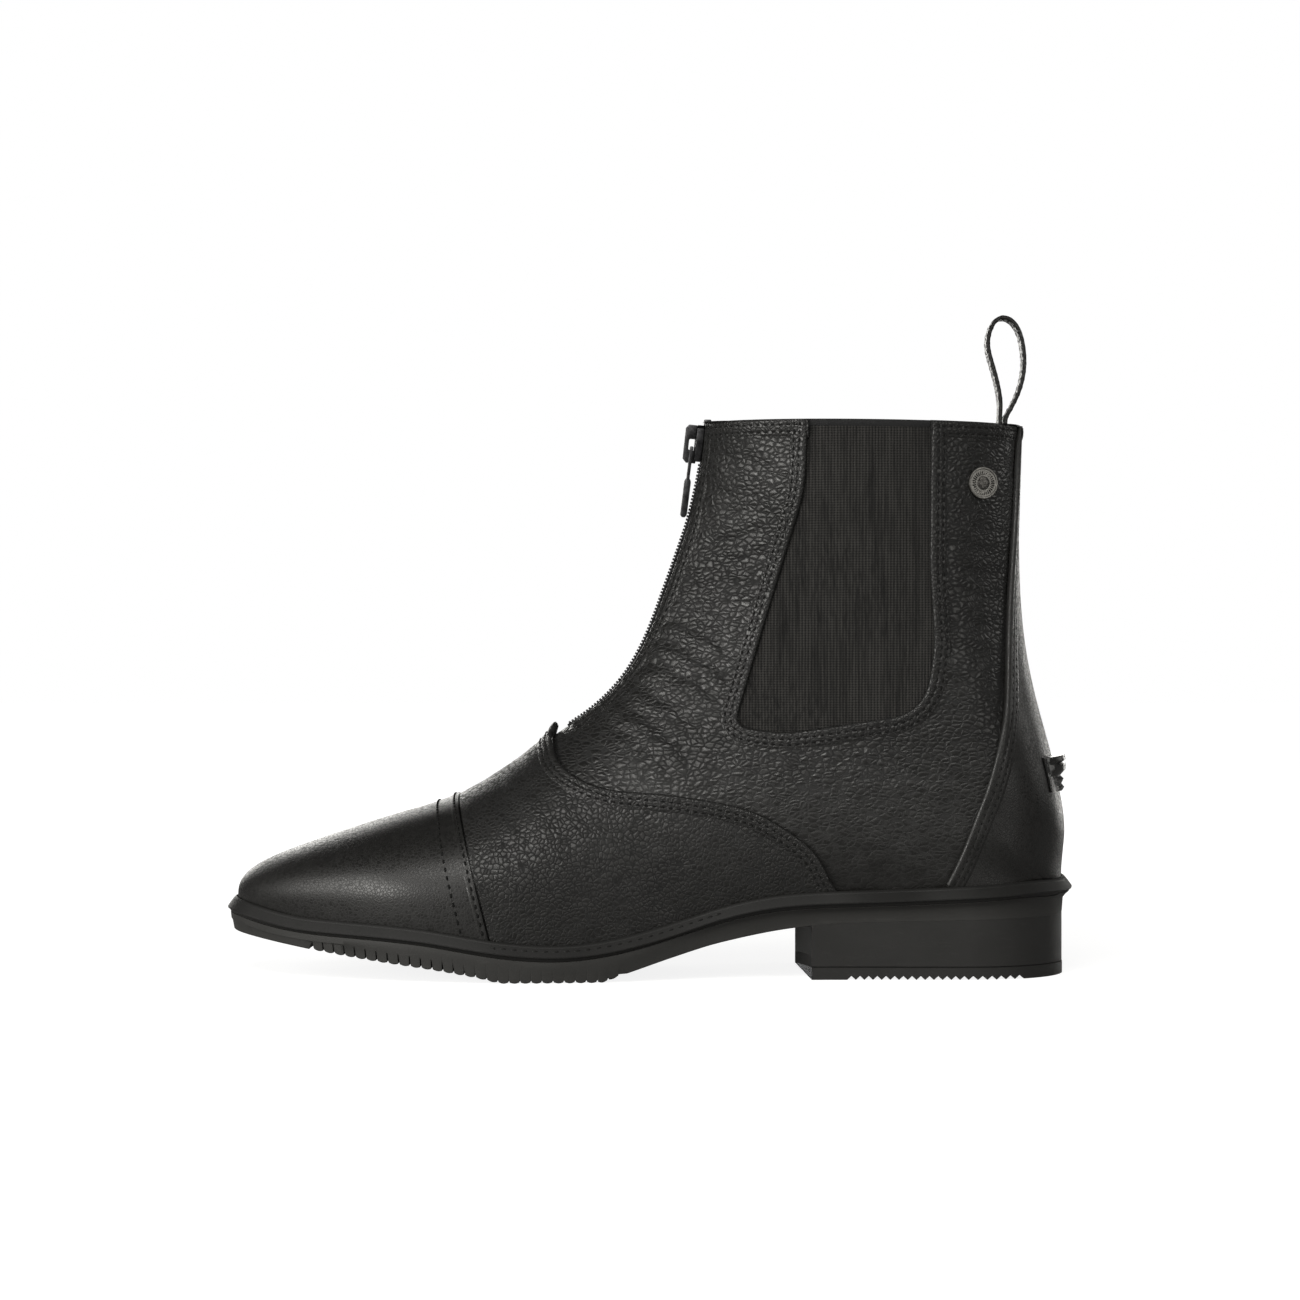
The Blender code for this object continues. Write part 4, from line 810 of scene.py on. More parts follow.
def tube(rings):
    """Points and faces of a tube, from an array with a row of points for each ring."""
    return rings.reshape(-1, 3), tube_faces(*rings.shape[:2])


def ridge_s(z):
    s = np.linspace(THROAT, COLLAR, 400)
    return float(np.interp(z, COLUMN["ridge_z"](s), s))


# Creases of the leather as seen from the side: a shallow arc from one end to the other, bowed to its left,
# with half its width and its depth.
Crease = namedtuple("Crease", "x0 z0 x1 z1 bow width depth")
CREASES = rows_of(
    Crease,
    (18.5, 177.0, 41.0, 171.5, 1.0, 2.4, 0.22),
    (18.0, 165.0, 44.0, 162.0, -1.2, 2.1, 0.24),
    (17.0, 157.0, 45.0, 155.5, 1.6, 2.1, 0.30),
    (16.0, 145.5, 40.0, 152.5, -1.5, 1.8, 0.46),
    (14.5, 139.0, 43.0, 144.0, -1.2, 2.0, 0.30),
    (13.0, 131.5, 41.0, 137.0, -1.6, 1.8, 0.36),
    (10.0, 126.5, 38.0, 127.5, -1.4, 2.1, 0.30),
    (3.4, 122.5, 29.5, 107.5, 2.2, 2.2, 0.55),
    (1.0, 115.5, 29.0, 99.0, 1.8, 2.1, 0.42),
    (-3.4, 107.5, 28.0, 91.5, 2.0, 2.2, 0.46),
    (-8.0, 100.0, 21.5, 80.0, 1.8, 2.1, 0.36),
    (-13.5, 94.5, 15.0, 73.0, 1.6, 2.1, 0.32),
    (-18.5, 88.0, 9.0, 68.5, 1.2, 2.0, 0.26),
    (58.0, 78.5, 113.0, 80.0, -1.4, 2.0, 0.34),
    (60.0, 73.5, 114.0, 74.5, -0.8, 2.1, 0.40),
    (66.0, 68.0, 111.0, 67.0, 1.2, 2.1, 0.30),
    (98.0, 146.5, 119.0, 142.0, 0.8, 1.7, 0.40),
    (97.5, 138.5, 119.5, 136.0, -0.8, 1.8, 0.30),
    (97.5, 130.5, 119.0, 127.0, 0.8, 1.8, 0.32),
    (97.0, 121.0, 119.0, 118.0, -0.9, 2.0, 0.28),
    (96.5, 111.5, 118.5, 107.5, 0.9, 2.0, 0.26),
    (95.0, 101.0, 117.0, 98.5, -0.7, 2.0, 0.24),
)
VAMP_CREASES = rows_of(
    Crease,
    (-52.0, 62.0, -33.0, 28.0, 2.5, 2.4, 0.16),
    (-42.0, 66.5, -22.0, 34.0, 2.0, 2.4, 0.16),
    (-61.5, 52.0, -49.0, 22.0, 1.6, 2.2, 0.12),
    (-20.0, 52.0, 18.0, 38.0, 2.0, 2.6, 0.14),
)
MEDIAL_SHIFT = (-1.6, 2.1)
CREASE_GAIN = 1.25
UNEVEN = 0.11

# Folded edges of the panels: distance in from the edge and height over the panel, with a dip under each row
# of stitches.
Fold = namedtuple("Fold", "inward stand")
FOLD = rows_of(
    Fold,
    (6.1, -0.35), (5.5, 0.0), (5.0, 0.19), (4.5, 0.30), (4.1, 0.22), (3.7, 0.36), (3.1, 0.52), (2.6, 0.50),
    (2.2, 0.38), (1.8, 0.52), (1.2, 0.62), (0.6, 0.64), (0.15, 0.50), (-0.18, 0.22), (-0.32, -0.2),
    (-0.32, -0.8),
)
WALL_BACK = rows_of(
    Fold,
    (-0.2, -1.7), (0.2, -2.3), (1.2, -2.5), (3.4, -2.45), (4.2, -2.1),
)
OVERLAY_BACK = rows_of(
    Fold,
    (-0.2, -1.45), (0.6, -1.7), (3.0, -1.6),
)
CUT_EDGE = rows_of(
    Fold,
    (3.4, -0.3), (2.7, 0.0), (2.1, 0.10), (1.7, 0.07), (1.3, 0.0), (0.9, 0.1), (0.4, 0.16), (0.05, 0.1),
    (-0.12, -0.12), (-0.15, -0.8), (0.0, -1.5), (1.0, -1.6),
)
HEM = rows_of(
    Fold,
    (6.3, -0.35), (5.7, 0.0), (5.1, 0.2), (4.7, 0.24), (4.3, 0.14), (3.9, 0.28), (3.0, 0.42), (2.3, 0.44),
    (1.9, 0.32), (1.5, 0.46), (0.9, 0.46), (0.35, 0.28), (0.0, -0.1), (-0.18, -0.7), (-0.15, -1.5),
    (0.15, -2.2), (1.2, -2.5), (3.2, -2.4),
)
BAR = rows_of(
    Fold,
    (5.4, -1.0), (5.2, 0.1), (4.6, 0.6), (3.4, 0.9), (1.8, 0.95), (0.6, 0.8), (-0.1, 0.35), (-0.5, -0.4),
    (-0.4, -1.6), (0.2, -2.6), (1.2, -3.0), (3.2, -2.9),
)
BINDING = rows_of(
    Fold,
    (2.6, -0.5), (2.3, 0.1), (1.6, 0.34), (0.8, 0.34), (0.15, 0.12), (-0.1, -0.4), (0.15, -1.1),
    (0.8, -1.5), (2.2, -1.4),
)

# Rows of stitches: distance in from the edge and height over the panel.
STITCH_ROWS = rows_of(Fold, (2.2, 0.32), (4.1, 0.20))
STRAP_ROWS = rows_of(Fold, (2.2, 0.12), (4.1, 0.0))
CAP_ROWS = rows_of(Fold, (1.3, 0.12), (8.2, 0.10))
HEM_ROWS = rows_of(Fold, (1.9, 0.26), (4.3, 0.08))
STITCH_PITCH = 2.75
STITCH_LENGTH = 1.75
STITCH_SPAN = 0.4
STITCH_LIP_CLEAR = 0.4
CAP_STITCH_PITCH = 3.0
THREAD_RADIUS = 0.36
THREAD_SIDES = 6


def crease_stand(x, z, creases, shift=(0.0, 0.0)):
    """How far creases move the leather out: below zero in a trough, above it on the soft ridges beside."""
    total = np.zeros(np.shape(x))
    for crease in creases:
        start = np.array([crease.x0 + shift[0], crease.z0 + shift[1]])
        run = np.array([crease.x1 - crease.x0, crease.z1 - crease.z0])
        length = np.hypot(*run)
        run = run / length
        along = ((x - start[0]) * run[0] + (z - start[1]) * run[1]) / length
        aside = (z - start[1]) * run[0] - (x - start[0]) * run[1]
        aside = aside - 4.0 * crease.bow * along * (1.0 - along)
        wave = 0.35 * crease.width * np.sin(along * length * 0.55 + crease.x0)
        aside = (aside - wave) / crease.width
        fade = np.clip(1.0 - (2.0 * along - 1.0) ** 4, 0.0, 1.0)
        ridge = np.exp(-((aside - 1.9) ** 2)) + np.exp(-((aside + 1.9) ** 2))
        total += CREASE_GAIN * crease.depth * fade * (0.5 * ridge - np.exp(-(aside**2)))
    return total


def uneven(place):
    """Soft unevenness of a lasted upper."""
    x, z = place[..., 0], place[..., 2]
    wave = np.sin(0.36 * x + 0.11 * z + 0.6) * np.sin(0.31 * z - 0.09 * x)
    return UNEVEN * (wave + 0.7 * np.sin(0.61 * x - 0.42 * z) * np.sin(0.5 * z + 0.27 * x + 1.1))


def creased(s, t, creases):
    place = upper_point(s, t)
    lateral = crease_stand(place[..., 0], place[..., 2], creases)
    medial = crease_stand(place[..., 0], place[..., 2], creases, MEDIAL_SHIFT)
    return np.where(np.asarray(t) < 0, lateral, medial) + uneven(place)


def finish_mesh(mesh):
    work = bmesh.new()
    work.from_mesh(mesh)
    bmesh.ops.remove_doubles(work, verts=work.verts, dist=1e-6)
    loose = [v for v in work.verts if not v.link_faces]
    bmesh.ops.delete(work, geom=loose, context="VERTS")
    bmesh.ops.recalc_face_normals(work, faces=work.faces)
    work.to_mesh(mesh)
    work.free()
    mesh.shade_smooth()
    mesh.set_sharp_from_angle(angle=SHARP_ANGLE)


def add_object(name, points, faces, materials, marks=None):
    mesh = bpy.data.meshes.new(name)
    mesh.from_pydata((np.asarray(points, float) * MM).tolist(), [], faces)
    for material in materials:
        mesh.materials.append(material)
    if marks is not None:
        mesh.polygons.foreach_set("material_index", np.asarray(marks, np.int32))
    finish_mesh(mesh)
    thing = bpy.data.objects.new(name, mesh)
    bpy.context.scene.collection.objects.link(thing)
    return thing


def add_piece(name, points, faces, material, nodes=(), body="boot"):
    """A visible piece that rides on a body, takes a slot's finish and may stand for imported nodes."""
    settle(add_object(name, points, faces, [material]), nodes, body)


def settle(thing, nodes=(), body="boot"):
    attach(thing, body)
    if nodes:
        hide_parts(*nodes)


def cut(thing, operation, tool):
    """Boolean with a tool that is removed afterwards."""
    step = thing.modifiers.new("cut", "BOOLEAN")
    step.operation = operation
    step.solver = "EXACT"
    step.object = tool
    graph = bpy.context.evaluated_depsgraph_get()
    mesh = bpy.data.meshes.new_from_object(thing.evaluated_get(graph))
    thing.modifiers.clear()
    old = thing.data
    mesh.name = old.name + "_cut"
    thing.data = mesh
    bpy.data.meshes.remove(old)
    bpy.data.objects.remove(tool, do_unlink=True)
    finish_mesh(mesh)


def shell(outer, inner, cells):
    """Points and faces of a sheet with thickness, walled along its open edges; outer faces come first."""
    count = len(outer)
    once = {}
    for cell in cells:
        for a, b in zip(cell, cell[1:] + cell[:1]):
            if a == b:
                continue
            if (b, a) in once:
                del once[(b, a)]
            else:
                once[(a, b)] = True
    rings = [tuple(dict.fromkeys(cell)) for cell in cells]
    faces = list(rings)
    faces += [tuple(count + v for v in reversed(ring)) for ring in rings]
    faces += [(b, a, count + a, count + b) for a, b in once]
    marks = [0] * len(rings) + [1] * len(rings) + [0] * len(once)
    return np.concatenate([outer, inner]), faces, marks


def prism(outline, low_y, high_y):
    count = len(outline)
    near = np.column_stack([outline[:, 0], np.full(count, low_y), outline[:, 1]])
    far = np.column_stack([outline[:, 0], np.full(count, high_y), outline[:, 1]])
    faces = [tuple(range(count)), tuple(range(2 * count - 1, count - 1, -1))]
    faces += [(i, (i + 1) % count, count + (i + 1) % count, count + i) for i in range(count)]
    return np.concatenate([near, far]), faces


def build_upper(leather, lining):
    foot = np.linspace(TOE_START, 8.6, 22)
    instep = np.linspace(8.75, BELOW_CORNER, 92)
    rows = np.concatenate([foot, instep, np.linspace(HEEL_CORNER, COLLAR, 96)])
    marks = grid_marks(92)
    s = np.repeat(rows[:, None], len(marks), axis=1)
    t = column_t(s, np.broadcast_to(marks, s.shape))
    columns = len(marks)
    middle = columns // 2
    slit_row = int(np.searchsorted(rows, ZIP_SLIT_START))
    stand = creased(s, t, CREASES) * smooth_step(*CREASES_BEGIN, s)
    outer = above_sole(close_back(on_upper(s, t, stand), rows, columns))
    inner = above_sole(close_back(on_upper(s, t, -WALL), rows, columns))
    cells = grid_cells(len(rows), columns, lambda i, j: i < slit_row or j not in (middle - 1, middle))
    shut = np.flatnonzero(back_shut(rows)).tolist()
    pairs = {i * columns + columns - 1: i * columns for i in shut}
    points, faces, sides = shell(outer, inner, weld(cells, pairs))
    upper = add_object("upper_leather", points, faces, [leather, lining], sides)
    window = prism(rounded_outline(GORE, 0.0, 14), -WINDOW_REACH, WINDOW_REACH)
    cut(upper, "DIFFERENCE", add_object("gore_window", *window, [leather]))
    settle(upper, ["upper"])


def build_gores(elastic):
    rows = np.concatenate([np.linspace(10.4, BELOW_CORNER, 26), np.linspace(HEEL_CORNER, COLLAR, 44)])
    share = np.linspace(0.06, 0.92, 60)
    inset = rounded_outline(GORE, GAP, 14)
    for side, word in SIDES:
        s, t = np.meshgrid(rows, side * share, indexing="ij")
        outer = on_upper(s, t, -GORE_RECESS).reshape(-1, 3)
        inner = on_upper(s, t, -GORE_RECESS - GORE_THICKNESS).reshape(-1, 3)
        points, faces, _ = shell(outer, inner, grid_cells(*s.shape))
        name = "gore_" + word
        gore = add_object(name + "_elastic", points, faces, [elastic])
        window = prism(inset, min(0.0, side * WINDOW_REACH), max(0.0, side * WINDOW_REACH))
        cut(gore, "INTERSECT", add_object(name + "_outline", *window, [elastic]))
        settle(gore, [name])


def build_vamp(leather):
    share = np.concatenate([np.linspace(0.0, 0.9, 46), np.linspace(0.915, 1.0, 12)])
    share, mark = np.meshgrid(share, grid_marks(56), indexing="ij")
    start = TOE_CAP_EDGE + 0.02
    t = column_t(np.full(share.shape, THROAT), mark)
    s = start + (vamp_edge_s(t) - start) * share
    t = t + (column_t(s, mark) - t) * (1.0 - share)
    lift = throat_lift(t, (1.0 - share) * VAMP_SPAN)
    stand = OVERLAY_GAP + VAMP_THICKNESS + creased(s, t, VAMP_CREASES)
    outer = above_sole((on_upper(s, t, stand) + lift).reshape(-1, 3))
    inner = above_sole((on_upper(s, t, OVERLAY_GAP) + lift).reshape(-1, 3))
    points, faces, _ = shell(outer, inner, grid_cells(*s.shape))
    add_piece("vamp_leather", points, faces, leather, ["vamp"])


def build_toe_cap(leather):
    rows = TOE_START + (TOE_CAP_EDGE - 0.01 - TOE_START) * np.linspace(0.0, 1.0, 72) ** 1.25
    marks = grid_marks(56)
    s = np.repeat(rows[:, None], len(marks), axis=1)
    t = column_t(s, np.broadcast_to(marks, s.shape))
    inner = above_sole(on_upper(s, t, GAP).reshape(-1, 3))
    outer = above_sole(on_upper(s, t, GAP + TOE_CAP_THICKNESS).reshape(-1, 3))
    points, faces, _ = shell(outer, inner, grid_cells(*s.shape))
    add_piece("toe_cap_leather", points, faces, leather, ["toe_cap"])


def build_back_strap(leather):
    counter = np.linspace(strap_start(), BELOW_CORNER, 40)
    rows = np.concatenate([counter, np.linspace(HEEL_CORNER, COLLAR, 90)])
    share = np.linspace(0.0, 1.0, 24)
    edge = strap_edge_t(rows)[:, None]
    near = -(edge + (1.0 - edge) * share[None, :])
    t = np.concatenate([near, -near[:, ::-1]], axis=1)
    columns = t.shape[1]
    seam = len(share) - 1
    s = np.repeat(rows[:, None], columns, axis=1)
    shut = np.flatnonzero(back_shut(rows)).tolist()
    layers = []
    for stand in (OVERLAY_GAP + STRAP_THICKNESS, OVERLAY_GAP):
        grid = on_upper(s, t, stand)
        middle = (grid[shut, seam] + grid[shut, seam + 1]) / 2
        grid[shut, seam] = middle
        grid[shut, seam + 1] = middle
        layers.append(above_sole(grid.reshape(-1, 3)))
    cells = grid_cells(len(rows), columns, lambda i, j: j != seam)
    pairs = {i * columns + seam + 1: i * columns + seam for i in shut}
    points, faces, _ = shell(*layers, weld(cells, pairs))
    add_piece("back_strap_leather", points, faces, leather, ["back_strap"])


def offset_seam(s, t, reach):
    """Places beside a seam, to the left of its direction, measured over the leather."""
    step = 1e-3
    place = upper_point(s, t)
    normal = upper_normal(s, t)
    aside = np.cross(normal, unit(np.gradient(place, axis=0)))
    by_s = (upper_point(s + step, t) - upper_point(s - step, t)) / (2 * step)
    by_t = (upper_point(s, t + step) - upper_point(s, t - step)) / (2 * step)
    a = (by_s * by_s).sum(1)
    b = (by_s * by_t).sum(1)
    c = (by_t * by_t).sum(1)
    e = (by_s * aside).sum(1)
    f = (by_t * aside).sum(1)
    scale = reach / np.maximum(a * c - b * b, 1e-9)
    slid_s = s + (c * e - b * f) * scale
    slid_t = t + (a * f - b * e) * scale
    target = place + aside * reach
    seen_s, seen_t = locate(target[:, 0], target[:, 2], side_of(t))
    facing = smooth_step(0.45, 0.7, np.abs(normal[:, 1]))
    return slid_s + (seen_s - slid_s) * facing, slid_t + (seen_t - slid_t) * facing


def spaced(s, t, spacing):
    """The seam's places at even distances over the leather."""
    run = run_of(upper_point(s, t))
    at = np.linspace(0.0, run[-1], max(int(run[-1] / spacing), 2) + 1)
    return np.interp(at, run, s), np.interp(at, run, t)


Seam = namedtuple("Seam", "s t hand base lift")


def seam_lift(seam, t, inward):
    return seam.lift(t, inward) if seam.lift else 0.0


def edging(name, seam, profile, leather):
    """A folded edge carried along a seam."""
    s, t = spaced(seam.s, seam.t, 1.0)
    rings = []
    for fold in profile:
        place_s, place_t = offset_seam(s, t, seam.hand * fold.inward)
        place = on_upper(place_s, place_t, seam.base + fold.stand)
        rings.append(place + seam_lift(seam, t, fold.inward))
    points, faces = tube(np.stack(rings, axis=1))
    add_piece(name, above_sole(points), faces, leather)


def stitch_row(seam, row, pitch):
    """Middle, direction and normal of each stitch in a row beside a seam, down to the welt."""
    s, t = offset_seam(seam.s, seam.t, seam.hand * row.inward)
    place = on_upper(s, t, seam.base + row.stand) + seam_lift(seam, seam.t, row.inward)
    run = run_of(place)
    count = max(int(run[-1] / pitch), 1)
    at = (np.arange(count) + 0.5) * run[-1] / count
    middle = at_run(at, run, place)
    direction = unit(at_run(at + STITCH_SPAN, run, place) - at_run(at - STITCH_SPAN, run, place))
    out = unit(at_run(at, run, upper_normal(s, t)))
    above = middle[:, 2] > lip_z(middle[:, 0]) + STITCH_LIP_CLEAR
    return middle[above], direction[above], out[above]


def threads(rows, length=STITCH_LENGTH, radius=THREAD_RADIUS):
    """Every stitch as a short thread that dives into the leather at both ends."""
    middle, direction, out = (np.concatenate(column) for column in zip(*rows))
    across = np.cross(out, direction)
    rings = []
    for ring in THREAD:
        centre = middle + direction * (ring.reach * length / 2) + out * (ring.arch * radius)
        for angle in np.arange(THREAD_SIDES) * 2 * np.pi / THREAD_SIDES:
            turn = across * np.cos(angle) + out * np.sin(angle)
            rings.append(centre + turn * (ring.thick * radius))
    each = len(rings)
    template = tube_faces(len(THREAD), THREAD_SIDES)
    faces = [tuple(k * each + v for v in face) for k in range(len(middle)) for face in template]
    return np.stack(rings, axis=1).reshape(-1, 3), faces


def gore_seam(side):
    outline = rounded_outline(GORE, 0.0, 24)
    run = run_of(outline)
    x, z = at_run(np.linspace(0.0, run[-1], 500), run, outline).T
    front_x, front_z, back_x, back_z = (COLUMN[key](COLLAR) for key in Section._fields[:4])
    top = front_z + (back_z - front_z) * ((x - front_x) / (back_x - front_x))
    inside = z < top - 0.05
    s, t = locate(x[inside], z[inside], side)
    return Seam(s, t, side, 0.0, None)


def gore_ends():
    """t where the gore's front and back edges reach the collar."""
    edge = np.abs(gore_seam(-1).t)
    return float(edge[0]), float(edge[-1])


def vamp_seam():
    t = np.linspace(-0.985, 0.985, 700)
    return Seam(vamp_edge_s(t), t, 1.0, OVERLAY_GAP + VAMP_THICKNESS, throat_lift)


def toe_cap_seam():
    t = np.linspace(-0.985, 0.985, 500)
    return Seam(np.full(t.shape, TOE_CAP_EDGE - 0.01), t, 1.0, GAP + TOE_CAP_THICKNESS, None)


def strap_seam(side):
    s = np.linspace(strap_start() + 0.05, COLLAR, 500)
    return Seam(s, side * strap_edge_t(s), side, OVERLAY_GAP + STRAP_THICKNESS, None)


def zip_seam(side):
    s = np.linspace(THROAT + 0.55, COLLAR, 400)
    return Seam(s, t_at_width(s, side * ZIP_SLIT_HALF), side, 0.0, None)


def collar_seam(first, last, base=0.0, count=300):
    t = np.linspace(first, last, count)
    return Seam(np.full(count, COLLAR), t, 1.0, base, None)


def build_edges_and_stitches(leather, smooth, thread):
    """Folded edges along every seam, and the rows of stitches beside them."""
    stitches = []

    def sew(seam, rows, pitch=STITCH_PITCH):
        stitches.extend(stitch_row(seam, row, pitch) for row in rows)

    for side, word in SIDES:
        gore = gore_seam(side)
        strap = strap_seam(side)
        chain = zip_seam(side)
        edging("gore_edge_" + word, gore, FOLD + WALL_BACK, leather)
        edging("strap_edge_" + word, strap, FOLD + OVERLAY_BACK, smooth)
        edging("zip_edge_" + word, chain, FOLD + WALL_BACK, leather)
        sew(gore, STITCH_ROWS)
        sew(strap, STRAP_ROWS)
        sew(chain, STITCH_ROWS)
    vamp = vamp_seam()
    edging("vamp_edge", vamp, FOLD + OVERLAY_BACK, leather)
    sew(vamp, STITCH_ROWS)
    cap = toe_cap_seam()
    edging("toe_cap_edge", cap, CUT_EDGE, smooth)
    sew(cap, CAP_ROWS, CAP_STITCH_PITCH)

    zip_edge = float(t_at_width(COLLAR, -ZIP_SLIT_HALF))
    strap_edge = float(strap_edge_t(COLLAR))
    gore_front, gore_back = gore_ends()
    panels = {
        "collar_front_lateral": (-gore_front - COLLAR_LAP, zip_edge),
        "collar_front_medial": (-zip_edge, gore_front + COLLAR_LAP),
        "collar_back_lateral": (-strap_edge, -gore_back + COLLAR_LAP),
        "collar_back_medial": (gore_back - COLLAR_LAP, strap_edge),
    }
    for name, ends in panels.items():
        seam = collar_seam(*ends)
        edging(name, seam, HEM, leather)
        sew(seam, HEM_ROWS)
    for word, *ends in (("lateral", -1.0, -strap_edge), ("medial", strap_edge, 1.0)):
        seam = collar_seam(*ends, OVERLAY_GAP + STRAP_THICKNESS)
        edging("collar_bar_" + word, seam, BAR, leather)
    points, faces = threads(stitches)
    add_piece("stitching", points, faces, thread)


def build_bindings(elastic):
    gore_front, gore_back = gore_ends()
    for word, *ends in (("lateral", -gore_back, -gore_front), ("medial", gore_front, gore_back)):
        seam = collar_seam(*ends, -GORE_RECESS, 200)
        edging("gore_binding_" + word, seam, BINDING, elastic)


def build_welt(rubber):
    points, normals = outline_loop(spaced_stations(151))
    at_lip = offset_to(points, normals, upper_at_lip())
    kernel = np.hanning(9) / np.hanning(9).sum()
    padded = np.concatenate([at_lip[-4:], at_lip, at_lip[:4]])
    at_lip = np.convolve(padded, kernel, "valid")
    layer = layer_at(points[:, 0]) + WELT_CLEAR - WELT_TUCK
    lip_reach = np.maximum(at_lip - WELT_TUCK, layer)
    lip = lip_z(points[:, 0])
    edge = lip - WELT_EDGE_DROP
    undercut = WELT_REACH - WELT_UNDERCUT
    loops = [loop_3d(points, normals, layer, base_z), loop_3d(points, normals, lip_reach, lip - 0.3)]
    for row in WELT_SLOPE:
        reach = lip_reach + (WELT_REACH - lip_reach) * row.share
        loops.append(loop_3d(points, normals, reach, lip - row.drop))
    loops += [
        loop_3d(points, normals, WELT_REACH, edge + 0.12),
        loop_3d(points, normals, WELT_REACH - 0.05, edge - 0.25),
        loop_3d(points, normals, WELT_REACH - 0.45, edge - 0.55),
        loop_3d(points, normals, undercut, lambda x: base_z(x) + 0.25),
        loop_3d(points, normals, undercut - 0.1, base_z),
    ]
    faces = ring_faces(len(loops), len(points), True)
    add_piece("welt_rubber", np.concatenate(loops), faces, rubber, ["welt"])


def build_welt_marks(rubber):
    """Moulded dashes on the welt's slope, along the waist and the ball."""
    stations = np.arange(WELT_MARK_FRONT_X, WELT_MARK_BACK_X, WELT_MARK_PITCH)
    points, normals = outline_loop(np.concatenate([[TOE_TIP_X], stations, [HEEL_BACK_X]]))
    keep = (points[:, 0] > WELT_MARK_FRONT_X - 1.0) & (points[:, 0] < WELT_MARK_BACK_X + 1.0)
    lip_reach = offset_to(points, normals, upper_at_lip()) - WELT_TUCK
    reach = lip_reach + (WELT_REACH - lip_reach) * WELT_MARK_SHARE
    place = loop_3d(points, normals, reach, lip_z(points[:, 0]) - WELT_MARK_DROP)
    direction = unit((np.roll(place, -1, axis=0) - np.roll(place, 1, axis=0))[keep])
    lean_out, lean_up = WELT_MARK_LEAN
    out = np.column_stack([normals * lean_out, np.full(len(points), lean_up)])[keep]
    out = unit(out - (out * direction).sum(1, keepdims=True) * direction)
    mesh_points, faces = threads([(place[keep], direction, out)], WELT_MARK_LENGTH, WELT_MARK_RADIUS)
    add_piece("welt_marks", mesh_points, faces, rubber)


def slot_shape(x):
    """Height of the forefoot's lower edge over its underside: rounded teeth with narrow slots between."""
    turn = np.mod((x - TREAD_FRONT_X) / TREAD_PITCH, 1.0)
    aside = np.minimum(turn, 1.0 - turn)
    inside = (x > TREAD_FRONT_X - 0.2) & (x < TREAD_BACK_X + 0.2)
    tall = SLOT_HEIGHT + (SLOT_HEIGHT_BALL - SLOT_HEIGHT) * smooth_step(*SLOT_FADE_X, x)
    scallop = SCALLOP * (1.0 - np.sin(np.pi * aside))
    return np.where(inside, np.maximum(tall * np.exp(-((aside / SLOT_SHARE) ** 4)), scallop), 0.0)


def build_outsole(rubber):
    teeth = TREAD_FRONT_X + TREAD_PITCH * np.add.outer(np.arange(TREAD_COUNT), TOOTH_MARKS).ravel()
    plain = spaced_stations(140)
    front = plain[plain < TREAD_FRONT_X - 0.5]
    stations = np.concatenate([front, teeth, plain[plain > TREAD_BACK_X + 0.5]])
    points, normals = outline_loop(stations)
    x = points[:, 0]
    count = len(stations)
    slot = slot_shape(x)
    blend = smooth_step(WAIST_FRONT_X, WAIST_BACK_X, x)
    trim = OUTSOLE_TRIM - (OUTSOLE_TRIM - HEEL_TRIM) * smooth_step(WAIST_BACK_X, HEEL_BREAST_X, x)
    rings = []
    for row in OUTSOLE_WALL:
        reach = sole_reach(points, OUTSOLE_REACH_TOP - row.inset, HEEL_REACH + row.heel)
        rings.append(loop_3d(points, normals, reach, lambda at, drop=row.drop: base_z(at) - drop))
    wall = sole_reach(points, OUTSOLE_REACH_BOTTOM + 0.6, HEEL_REACH + 0.08)
    bottom = sole_reach(points, OUTSOLE_REACH_BOTTOM, HEEL_REACH)
    rings += [loop_3d(points, normals, reach, underside) for reach in (wall, bottom, bottom - trim)]
    deep = base_z(x) - underside(x)
    rings[-3][:, 2] += np.minimum(SLOT_HEIGHT + 0.7, deep * 0.55) * (1.0 - blend) + 0.5 * blend
    rings[-2][:, 2] += slot + 0.7 * trim
    rings[-1][:, 2] += slot
    lateral = [ring[:count] for ring in rings]
    medial = [np.concatenate([ring[:1], ring[count:][::-1], ring[count - 1 : count]]) for ring in rings]
    bottom_rows = []
    for share in TREAD_ROWS:
        row = lateral[-1] + (medial[-1] - lateral[-1]) * share
        middle = min(share, 1.0 - share)
        row[:, 2] = underside(row[:, 0]) + slot[:count] * (1.0 - 0.62 * smooth_step(0.02, 0.2, middle))
        bottom_rows.append(row)
    columns = np.stack(lateral + bottom_rows + medial[::-1], axis=1)
    faces = ring_faces(count, columns.shape[1], False)
    add_piece("outsole_rubber", columns.reshape(-1, 3), faces, rubber, ["outsole"])


def fine_heel_stations(steps):
    """Places from the heel's breast to its back, so many of them along the notched stretch."""
    front = np.linspace(HEEL_BREAST_X, NOTCH_FRONT_X, 8)[:-1]
    middle = np.linspace(NOTCH_FRONT_X, NOTCH_BACK_X, steps)
    centre = HEEL_BACK_X - HEEL_RADIUS
    turn = np.linspace(np.arcsin((HEEL_TURN_X - centre) / HEEL_RADIUS), np.pi / 2, 18)
    return np.concatenate([front, middle, centre + HEEL_RADIUS * np.sin(turn)])


